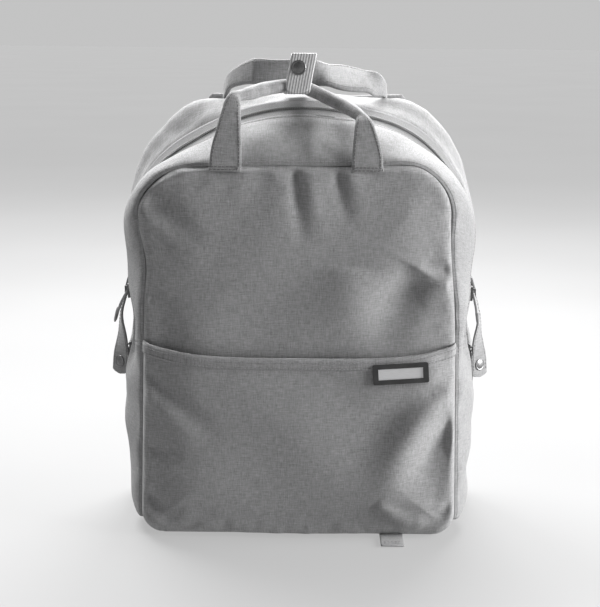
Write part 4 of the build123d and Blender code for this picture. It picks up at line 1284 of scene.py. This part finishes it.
def wrap():
    front_low, front_high = span("wrap_front")
    rear_low, rear_high = span("wrap_rear")
    x = (front_low[0] + front_high[0]) / 2 + 0.8
    half = (front_high[0] - front_low[0]) / 2 - 1.4
    low, high = front_low[2] + 1.2, front_high[2] - 1.2
    front, split, back = front_low[1] + 1.2, front_high[1], rear_high[1] - 1.2
    corner = 4.5

    def half_loop(name, body, split_y, end_y, seed):
        way = 1 if end_y > split_y else -1
        upper = [
            (split_y, high), (end_y - way * corner, high),
            (end_y - way * 1.3, high - 1.3), (end_y, high - corner),
        ]
        lower = [(y, low + high - z) for y, z in upper[::-1]]
        path = curve([(x, y, z) for y, z in (*upper, (end_y, (low + high) / 2), *lower)], 90)
        path[:, 1] += way * 0.25 * ripple(path, 15, seed)
        ahead = np.gradient(path, axis=0)
        hint = np.cross(ahead, np.array([1.0, 0, 0]))
        place_tube(name, path, half, 1.15, RIBBED_WRAP, body, "webbing", name,
                   hint=hint, power=7, sides=36, offset=lean)

    half_loop("wrap_front", "front_carry_handle", split, front, 71)
    half_loop("wrap_rear", "rear_carry_handle", rear_low[1], back, 72)
    tongue_low, tongue_high = span("wrap_tongue")
    y = (tongue_low[1] + tongue_high[1]) / 2
    tip = low + 0.2
    route = [(0.1, tongue_high[2] + 0.4), (-0.1, tongue_high[2] - 4), (-0.3, 397), (-0.1, tip)]
    path = curve([(x, y + step, z) for step, z in route], 60)
    away = path[:, 2] - tip
    wide = (half - 0.6) * np.sqrt(np.clip(1 - np.square(1 - np.clip(away / 5, 0, 1)), 0.02, 1))
    place_tube("wrap_tongue", path, wide, 1.0, RIBBED_WRAP, "snap_tongue", "webbing", "wrap_tongue",
               power=7, sides=36, offset=lean)
    cap_low, cap_high = span("wrap_snap_cap")
    middle = (cap_low + cap_high) / 2
    spot = lean(np.array([middle[0] - 1.5, y - 0.8, middle[2]]))
    cap = snap_cap("snap_cap", spot, (0, -1, 0.06), (cap_high[0] - cap_low[0]) / 2)
    place(cap, "snap_tongue", "snap_metal", "wrap_snap_cap")


def snap_cap(name, middle, axis, radius):
    """Domed cap of a snap, with a rolled rim and a shallow ring."""
    profile = [
        (0.5, -0.2), (0.97, -0.1), (1, 0.5), (0.97, 1.0), (0.9, 1.25), (0.82, 1.2),
        (0.76, 1.0), (0.7, 1.05), (0.55, 1.35), (0.3, 1.6), (0.08, 1.68),
    ]
    profile = [(radius * share, height) for share, height in profile]
    return revolve(name, profile, tuple(middle), axis, SNAP)


# ---- keeper straps on the sides ----
def keepers():
    """A tab with a snap at each side, hung from a stitched base, its foot turned to the front."""
    for side, sign in SIDES.items():
        low, high = span(f"keeper_strap_{side}")
        y = (low[1] + high[1]) / 2
        top, foot = high[2], low[2]
        x_top = ZIP_HALF + 5.6
        route = [
            (0, 0, top + 3), (1.5, 0, top - 6), (5.8, -1, top - 24),
            (5.6, -3, top - 44), (6.6, -5, top - 60), (8, -6, foot - 2),
        ]
        count = 80
        path = curve([(sign * (x_top + px), y + py, z) for px, py, z in route], count)
        share = np.linspace(0, 1, count)
        turn = np.radians(8 + 46 * smooth_step((share - 0.25) / 0.6))
        hint = np.stack([sign * np.cos(turn), -np.sin(turn), np.zeros(count)], -1)
        wide = 7.6 + 1.6 * smooth_step((share - 0.35) / 0.5)
        tip = np.clip((1 - share) * run_of(path)[-1] / 4, 0, 1)
        wide = wide * np.sqrt(np.clip(1 - np.square(1 - tip), 0.03, 1))
        body = f"keeper_{side}"
        place_tube(f"keeper_tab_{side}", path, wide, 1.15, SHELL, body, "shell_fabric",
                   f"keeper_strap_{side}", hint=hint, power=6, sides=36)
        stitching.edges(body, path, hint, wide - 1.8, 1.2, slice(4, -6))
        _, out = strap_frame(path, hint)
        spot = int(count * 0.86)
        cap = snap_cap(f"keeper_snap_{side}", path[spot] + out[spot] * 0.8, out[spot], 5.4)
        place(cap, body, "snap_metal", f"keeper_cap_{side}")
        route = [(ZIP_HALF + 2.4, top + 12), (ZIP_HALF + 4.4, top + 6), (x_top, top + 1)]
        path = curve([(sign * px, y, z) for px, z in route], 30)
        nodes = ("keeper_anchors",) if side == "left" else ()
        place_tube(f"keeper_base_{side}", path, 8.4, 1.3, SHELL, "bag", "shell_fabric", *nodes,
                   hint=(sign, 0, 0.2), power=6, sides=36)
        box = [*box_route(6.4, 10.5, 4.5), (6.4, 4.5)]
        row = [(sign * (ZIP_HALF + 5.3 - (pz - 4) * 0.33), y + py, top + pz) for py, pz in box]
        stitching.row("bag", evenly(row, 60), (sign, 0, 0.3))


# ---- the wearer's side ----
def pad_shape(name, outline, y_low, y_high, material, crown=2.5):
    """A closed pad over a flat outline: domed on the wearer's side, flat on the bag's."""
    outline = np.asarray(outline, float)
    middle = outline.mean(0)
    rings = 14
    under, over = [], []
    for k in range(rings + 1):
        share = 1 - k / rings
        ring = middle + (outline - middle) * (0.02 + 0.98 * share)
        rise = (y_high - y_low) * min(1, (1 - share) * 9) ** 0.6 + crown * (1 - share**2)
        under.append(at_depth(ring, y_low))
        over.append(at_depth(ring, y_low + rise))
    points = np.stack(under[::-1] + over)
    return make_piece(name, points, closed_faces(len(points), len(outline)), material)


def rounded_box(width, height, radius, x=0.0, z=0.0, count=120):
    """Rounded rectangle outline, evenly spaced."""
    points = []
    for cx, cz, start in ((1, 1, 0), (-1, 1, 90), (-1, -1, 180), (1, -1, 270)):
        for angle in np.radians(np.linspace(start, start + 90, 10)):
            points.append((
                x + cx * (width / 2 - radius) + radius * math.cos(angle),
                z + cz * (height / 2 - radius) + radius * math.sin(angle),
            ))
    points.append(points[0])
    return evenly(points, count + 1)[:-1]


def inflate(piece, cap, pressure=4.0, voxel=4.0, floor_y=None):
    """Stuff a closed piece: remesh it, let cloth pressure swell it, cap how far it moves."""
    remesh = piece.modifiers.new("remesh", "REMESH")
    remesh.mode = "VOXEL"
    remesh.voxel_size = voxel * MM
    apply_modifiers(piece)
    rest = coordinates(piece)
    swell = piece.modifiers.new("cloth", "CLOTH")
    swell.settings.use_pressure = True
    swell.settings.uniform_pressure_force = pressure
    swell.settings.effector_weights.gravity = 0
    swell.settings.quality = 5
    swell.point_cache.frame_end = 20
    for step in range(1, 21):
        bpy.context.scene.frame_set(step)
    graph = bpy.context.evaluated_depsgraph_get()
    shaped = piece.evaluated_get(graph)
    moved = np.empty(len(shaped.data.vertices) * 3, np.float32)
    shaped.data.vertices.foreach_get("co", moved)
    piece.modifiers.clear()
    bpy.context.scene.frame_set(1)
    step = moved.reshape(-1, 3) - rest
    size = np.linalg.norm(step, axis=1, keepdims=True).clip(1e-9)
    step *= np.minimum(1, cap * MM / size)
    set_coordinates(piece, rest + step)
    smooth = piece.modifiers.new("subdivide", "SUBSURF")
    smooth.levels = smooth.render_levels = 1
    apply_modifiers(piece)
    if floor_y is not None:
        points = coordinates(piece)
        points[:, 1] = np.maximum(points[:, 1], floor_y * MM)
        set_coordinates(piece, points)
    weave_flat(piece)
    piece.data.polygons.foreach_set("use_smooth", [True] * len(piece.data.polygons))


def coordinates(piece):
    points = np.empty(len(piece.data.vertices) * 3, np.float32)
    piece.data.vertices.foreach_get("co", points)
    return points.reshape(-1, 3).astype(float)


def set_coordinates(piece, points):
    piece.data.vertices.foreach_set("co", points.astype(np.float32).ravel())
    piece.data.update()


def weave_flat(piece):
    """Lay the weave of a remeshed pad out over its width and height."""
    points = coordinates(piece)
    place_on = np.zeros((len(points), 3), np.float32)
    place_on[:, 0] = points[:, 0] + 0.5 * points[:, 1]
    place_on[:, 1] = points[:, 2] + 0.5 * points[:, 1]
    old = piece.data.attributes.get("weave")
    if old:
        piece.data.attributes.remove(old)
    made = piece.data.attributes.new("weave", "FLOAT_VECTOR", "POINT")
    made.data.foreach_set("vector", place_on.ravel())


def sew_channels(piece, lines, width, depth):
    """Press sewn channels into a pad's face along lines in X and Z."""
    points = coordinates(piece) / MM
    low, high = points[:, 1].min(), points[:, 1].max()
    face = smooth_step((points[:, 1] - low) / (high - low) * 1.4)
    for line in lines:
        gap, _ = nearest(points[:, [0, 2]], np.asarray(line, float))
        points[:, 1] -= face * depth * np.exp(-np.square(gap / width))
    set_coordinates(piece, points * MM)


def back_pad(name, node, rim_name, corner, crown, cap, channels):
    """A stuffed mesh pad with sewn channels and a piped rim. The channels lie about its middle."""
    low, high = span(node)
    size, middle = high - low, (high + low) / 2
    outline = rounded_box(size[0] - 4, size[2] - 4, corner, middle[0], middle[2])
    pad = pad_shape(name, outline, low[1] + 0.2, high[1] - 3.5, MESH, crown=crown)
    inflate(pad, cap=cap, floor_y=low[1] + 0.1)
    sew_channels(pad, np.array(channels) + middle[[0, 2]], 3.4, 3.6)
    place(pad, "bag", "air_mesh", node)
    rim = rounded_box(size[0] - 1.5, size[2] - 1.5, corner + 1, middle[0], middle[2], 160)
    ring = at_depth(np.vstack([rim, rim[:2]]), low[1] + 1.0)
    place_tube(rim_name, ring, 1.5, 1.5, BINDING, "bag", "webbing", sides=12)


def back_pads():
    across = [[(-40, k), (40, k)] for k in (-48, 0, 48)]
    upright = [[(k, -60), (k, 60)] for k in (-38, 0, 38)]
    for side in SIDES:
        names = (f"back_cushion_{side}", f"back_pad_{side}", f"back_cushion_piping_{side}")
        back_pad(*names, 16, 2.2, 3.5, across)
    back_pad("lumbar_cushion", "lumbar_pad", "lumbar_piping", 20, 2.4, 4, upright)


def yoke():
    low, high = span("strap_yoke")
    size, middle = high - low, (high + low) / 2
    outline = rounded_box(size[0] + 3, size[2] + 5, 6, middle[0] + 4.5, middle[2] + 2.6)
    pad = pad_shape("shoulder_yoke", outline, low[1] + 0.2, high[1] - 1.2, SHELL, crown=0.8)
    inflate(pad, cap=1.5, voxel=3.0, floor_y=low[1] + 0.1)
    place(pad, "bag", "shell_fabric", "strap_yoke")
    for gap in (4.0, 9.0):
        ring = rounded_box(size[0] - 2 * gap, size[2] - 2 * gap, 7, middle[0] + 5, middle[2] + 1)
        ring = np.vstack([ring, ring[:1]])
        stitching.row("bag", at_depth(ring, high[1] + 0.9), (0, 1, 0))


def luggage_strap():
    low, high = span("luggage_strap")
    half, y = (high[0] - low[0]) / 2, high[1] - 0.8
    z, tall = (low[2] + high[2]) / 2, (high[2] - low[2]) / 2
    left = [(-half - 4, low[1] + 1.2), (-half + 1, low[1] + 3.5), (-half + 7, y - 3), (-half + 20, y)]
    route = [*left, (0, y + 0.6), *((-px, py) for px, py in left[::-1])]
    path = curve([(px, py, z) for px, py in route], 140)
    place_tube("luggage_band", path, tall - 0.5, 1.1, BACK_CLOTH, "bag", "webbing", "luggage_strap",
               hint=(0, 1, 0), power=8, sides=60)
    for shift in (-1, 1):
        edge = path + np.array([0, 0.3, shift * (tall - 1.8)])
        name = f"luggage_binding_{'low' if shift < 0 else 'high'}"
        place_tube(name, edge, 2.2, 1.5, WEBBING, "bag", "webbing", hint=(0, 1, 0), power=4, sides=20)
        row = edge + np.array([0, 1.6, 0])
        stitching.row("bag", row[3:-3], (0, 1, 0))
    for sign in SIDES.values():
        for inset in (1.5, 5.0):
            x = sign * (half + 3 - inset)
            places, depths = np.abs(np.array(left[:3])).T[:, ::-1]
            y_here = np.interp(abs(x), places, depths) + 1.3
            row = [(x, y_here, z - tall + 4), (x, y_here, z + tall - 4)]
            stitching.row("bag", evenly(row, 20), (0, 1, 0))


def shoulder_straps():
    """Padded straps from the yoke to the ladder locks, and webbing from there to the wings."""
    for side, sign in SIDES.items():
        body = f"shoulder_strap_{side}"
        low, high = span(f"shoulder_pad_{side}")
        lock = middle_of(f"ladder_lock_{side}")
        route = [
            (sign * 58, low[1] - 3.5, high[2] + 12), (sign * 62, low[1] + 5.5, high[2] - 2),
            (sign * 78, high[1] - 9, high[2] - 50), (sign * 92, high[1] - 5.2, 240),
            (sign * 99, high[1] - 6, 190), (lock[0], lock[1] + 0.4, low[2] + 3),
        ]
        count = 120
        path = curve(route, count)
        share = np.linspace(0, 1, count)
        wide = 24.5 - 3.0 * smooth_step((share - 0.55) / 0.4)
        wide = wide * np.sqrt(np.clip(1 - np.square(1 - np.clip((1 - share) / 0.05, 0, 1)), 0.35, 1))
        hint = (0, 1, 0.05)
        pad = tube(f"shoulder_cushion_{side}", path, wide, 4.1, MESH, hint=hint, power=3.4, sides=48)
        inflate(pad, cap=2.2, voxel=4.0)
        place(pad, body, "air_mesh", f"shoulder_pad_{side}")
        way, out = strap_frame(path, hint)
        for shift in (-1, 1):
            name = f"shoulder_binding_{'inner' if shift * sign < 0 else 'outer'}_{side}"
            edge = path + shift * way * (wide + 0.6)[:, None]
            place_tube(name, edge[2:-3], 1.9, 3.4, BINDING, body, "webbing", hint=hint, power=2.6, sides=18)
        stitching.edges(body, path, hint, wide - 4.5, 5.3, slice(8, -8))
        strip = (path + out * 5.9)[30:-6]
        flat_web = (DARK_WEBBING, body, "webbing")
        place_tube(f"shoulder_web_face_{side}", strip, 11, 0.9, *flat_web, hint=hint, power=8)
        end = path[-1]
        route = [end + np.array([0, 0, 10]), end + np.array([0, 0.3, 0]), lock + np.array([0, 0.2, 9.5])]
        place_tube(f"lock_tab_{side}", curve(route, 24), 11.5, 1.1, *flat_web, hint=hint, power=8)
        web_high = span(f"shoulder_webbing_{side}")[1]
        wing = np.array([sign * 131, BACK_FACE_Y + 3.0, 50])
        route = [
            lock + np.array([0, 0.2, -8.5]), (lock[0] + sign * 3, lock[1] - 2, web_high[2] - 14),
            (lock[0] + sign * 12, lock[1] - 8, 88), (lock[0] + sign * 22, wing[1] + 5, 66), wing,
        ]
        place_tube(f"strap_webbing_{side}", curve(route, 70), 11.6, 0.95, *flat_web,
                   f"shoulder_webbing_{side}", hint=(0.25 * sign, 1, 0.05), power=8)


def wings():
    """Padded triangles at the bag's lower corners that hold the strap webbing."""
    low, high = span("strap_wings")
    nodes = ("strap_wings",)
    for side, sign in SIDES.items():
        corners = [(sign * 146, 26), (sign * 146, 78), (sign * 117, 59), (sign * 117, 37)]
        ring = np.array(corners + corners[:1], float)
        outline = evenly(ring, 81)[:-1]
        pad = pad_shape(f"strap_wing_{side}", outline, low[1] - 1.0, high[1] - 0.4, SHELL, crown=0.5)
        inflate(pad, cap=1.0, voxel=2.5, floor_y=low[1] - 1.0)
        place(pad, "bag", "shell_fabric", *nodes)
        nodes = ()
        inside = ring.mean(0) + (ring - ring.mean(0)) * 0.84
        stitching.row("bag", evenly(at_depth(inside, high[1] + 0.9), 60), (0, 1, 0))


# ---- inside and under ----
def laptop_sleeve():
    low, high = span("laptop_sleeve")
    half, base, top = high[0] - 4, low[2] + 6, high[2]
    x = np.linspace(-1, 1, 80)
    z = np.linspace(0, 1, 70)
    across, up = np.meshgrid(x, z)
    rim = top - 5 * (1 - across**4)
    flat = np.stack([across * half, base + up * (rim - base)], -1)
    bow = 1 - np.abs(across) ** 6
    y = high[1] - 3 - (high[1] - 4 - low[1]) * bow + 0.9 * ripple(flat, 70, 81)
    points = np.stack([flat[..., 0], np.maximum(y, low[1] + 0.4), flat[..., 1]], -1)
    middle = np.array([0, 400.0, 150])
    sleeve = cloth("laptop_sleeve_front", points, LINING, flat, thickness=3.0, middle=middle)
    place(sleeve, "bag", "lining", "laptop_sleeve")
    edge = points[-1] + np.array([0, 1.5, 0])
    place_tube("sleeve_binding", edge, 3.0, 2.6, BINDING, "bag", "webbing", power=3)
    z_low, z_high = (corner[2] for corner in span("sleeve_strap"))
    y = float(points[-1, 40, 1]) - 2.0
    route = [
        (0, y, z_low), (0, y - 0.6, z_low + 20), (0, y - 0.8, z_high - 10),
        (0, y + 2, z_high + 2), (0, y + 8, z_high + 5), (0, BACK_Y - 1, z_high + 2),
    ]
    place_tube("sleeve_closure", curve(route, 60), 14, 1.1, WEBBING, "bag", "webbing", "sleeve_strap",
               hint=(0, -1, 0.2), power=8)
    box = [*box_route(10, z_low + 4, z_low + 22), (10, z_low + 22)]
    stitching.row("bag", evenly([(px, y - 1.9, pz) for px, pz in box], 120), (0, -1, 0))


def webbing_tail():
    low, high = span("webbing_tail")
    x, half = (low[0] + high[0]) / 2, (high[0] - low[0]) / 2
    route = [(x, high[1], 1.3), (x, high[1] - 14, 1.3), (x, low[1] + 14, 1.3), (x, low[1] + 1, 1.5)]
    place_tube("webbing_end", curve(route, 60), half, 0.95, WEBBING, "bag", "webbing", "webbing_tail",
               hint=(0, 0, 1), power=8, sides=36)
    for y in (low[1] + 4, low[1] + 7):
        row = [(x - half + 2, y, 2.4), (x + half - 2, y, 2.4)]
        stitching.row("bag", evenly(row, 12), (0, 0, 1))


def cad_pieces():
    """Materials and softened edges for the CAD nodes that are shown as they are."""
    finishes = {"keeper_studs": SNAP, "wrap_stud": SNAP, "label_frame": RUBBER, "label_plate": PLATE}
    for side in SIDES:
        for kind in ("main_slider", "side_slider", "side_pull_ring"):
            finishes[f"{kind}_{side}"] = GUNMETAL
        finishes[f"ladder_lock_{side}"] = PLASTIC
    for node, material in finishes.items():
        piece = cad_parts[node]
        piece.data.materials.clear()
        piece.data.materials.append(material)
        if "ring" in node:
            continue
        bevel = piece.modifiers.new("worn_edges", "BEVEL")
        bevel.width = 0.35 * MM
        bevel.segments = 2
        bevel.limit_method = "ANGLE"


# ---- camera, floor and light ----
CAMERA_TARGET = (0, 0, 0.1953)
CAMERA_DISTANCE, CAMERA_TURN, CAMERA_RISE, CAMERA_ROLL = 1.0, 0.4, 13.4, -0.44
CAMERA_LENS, SENSOR = 68.58, 36.0
DOME = (-0.3, 0.6, 0.2, 1.15)       # how far forward and back its two tones reach, and the tones
HORIZON, HORIZON_TONE = (0.06, 0.3), 0.55
FLOOR_TONE, FLOOR_GLOW = 0.08, 0.42


def camera():
    turn, rise = math.radians(CAMERA_TURN), math.radians(CAMERA_RISE)
    away = Vector((math.sin(turn) * math.cos(rise), -math.cos(turn) * math.cos(rise), math.sin(rise)))
    lens = bpy.data.cameras.new("camera")
    lens.sensor_fit = "HORIZONTAL"
    lens.sensor_width = SENSOR
    lens.lens = CAMERA_LENS
    view = bpy.data.objects.new("camera", lens)
    look = away.to_track_quat("Z", "Y").to_matrix().to_4x4()
    roll_turn = Matrix.Rotation(math.radians(-CAMERA_ROLL), 4, "Z")
    view.matrix_world = Matrix.Translation(Vector(CAMERA_TARGET) + away * CAMERA_DISTANCE) @ look @ roll_turn
    bpy.context.scene.collection.objects.link(view)
    bpy.context.scene.camera = view


def light(name, place_at, size, power, aim=(0, 0, 0.2)):
    lamp = bpy.data.lights.new(name, "AREA")
    lamp.size = size
    lamp.energy = power
    made = bpy.data.objects.new(name, lamp)
    way = Vector(place_at) - Vector(aim)
    made.matrix_world = Matrix.Translation(place_at) @ way.to_track_quat("Z", "Y").to_matrix().to_4x4()
    bpy.context.scene.collection.objects.link(made)


def sky():
    """Surroundings as pale as the floor at the horizon, bright above and behind, dim before the bag."""
    world = bpy.data.worlds.new("studio")
    bpy.context.scene.world = world
    world.use_nodes = True
    nodes, links = world.node_tree.nodes, world.node_tree.links

    def eased(value, low, high, first, last):
        step = nodes.new("ShaderNodeMapRange")
        step.interpolation_type = "SMOOTHSTEP"
        for socket, setting in zip(step.inputs, (value, low, high, first, last)):
            if isinstance(setting, bpy.types.NodeSocket):
                links.new(setting, socket)
            else:
                socket.default_value = setting
        return step.outputs[0]

    way = nodes.new("ShaderNodeTexCoord").outputs["Generated"]
    parts = nodes.new("ShaderNodeSeparateXYZ")
    links.new(way, parts.inputs[0])
    dome = eased(parts.outputs["Y"], *DOME)
    level = eased(parts.outputs["Z"], *HORIZON, HORIZON_TONE, dome)
    back = nodes["Background"]
    back.inputs["Color"].default_value = (1, 1, 1, 1)
    links.new(level, back.inputs["Strength"])


def studio():
    bpy.context.scene.view_settings.view_transform = "Standard"
    shade = Shader("studio_floor", 0.8)
    haze = shade.noise(shade.place(), 1.5, 2.0)
    shade.colour(haze, FLOOR_TONE, FLOOR_TONE + 0.02)
    shade.surface_is("Emission Color", (1, 1, 1, 1))
    shade.surface_is("Emission Strength", FLOOR_GLOW)
    size = 30000
    points = [(-size, -size, -0.4), (size, -size, -0.4), (size, size, -0.4), (-size, size, -0.4)]
    floor = make_piece("floor", points, [(0, 1, 2, 3)], shade.material, smooth=False)
    sky()
    light("window", (1.55, -0.3, 0.58), 0.8, 62)
    light("window_high", (0.25, 0.95, 1.35), 0.9, 54)
    light("window_left", (-0.6, 0.7, 1.5), 0.8, 56)


for build in (
    camera, studio, flap_front, flap_gusset, rear_shell, lower_sides, bottom, back_panel,
    slip_pocket, lower_front, zips, upper_pulls, lower_pulls, front_handle, rear_handle, wrap,
    keepers, back_pads, yoke, luggage_strap, shoulder_straps, wings, laptop_sleeve, webbing_tail,
    cad_pieces,
):
    build()
stitching.make("stitches", THREAD)
painted_shade_stitching.make("painted_shade_stitches", PAINTED_SHADE_THREAD)
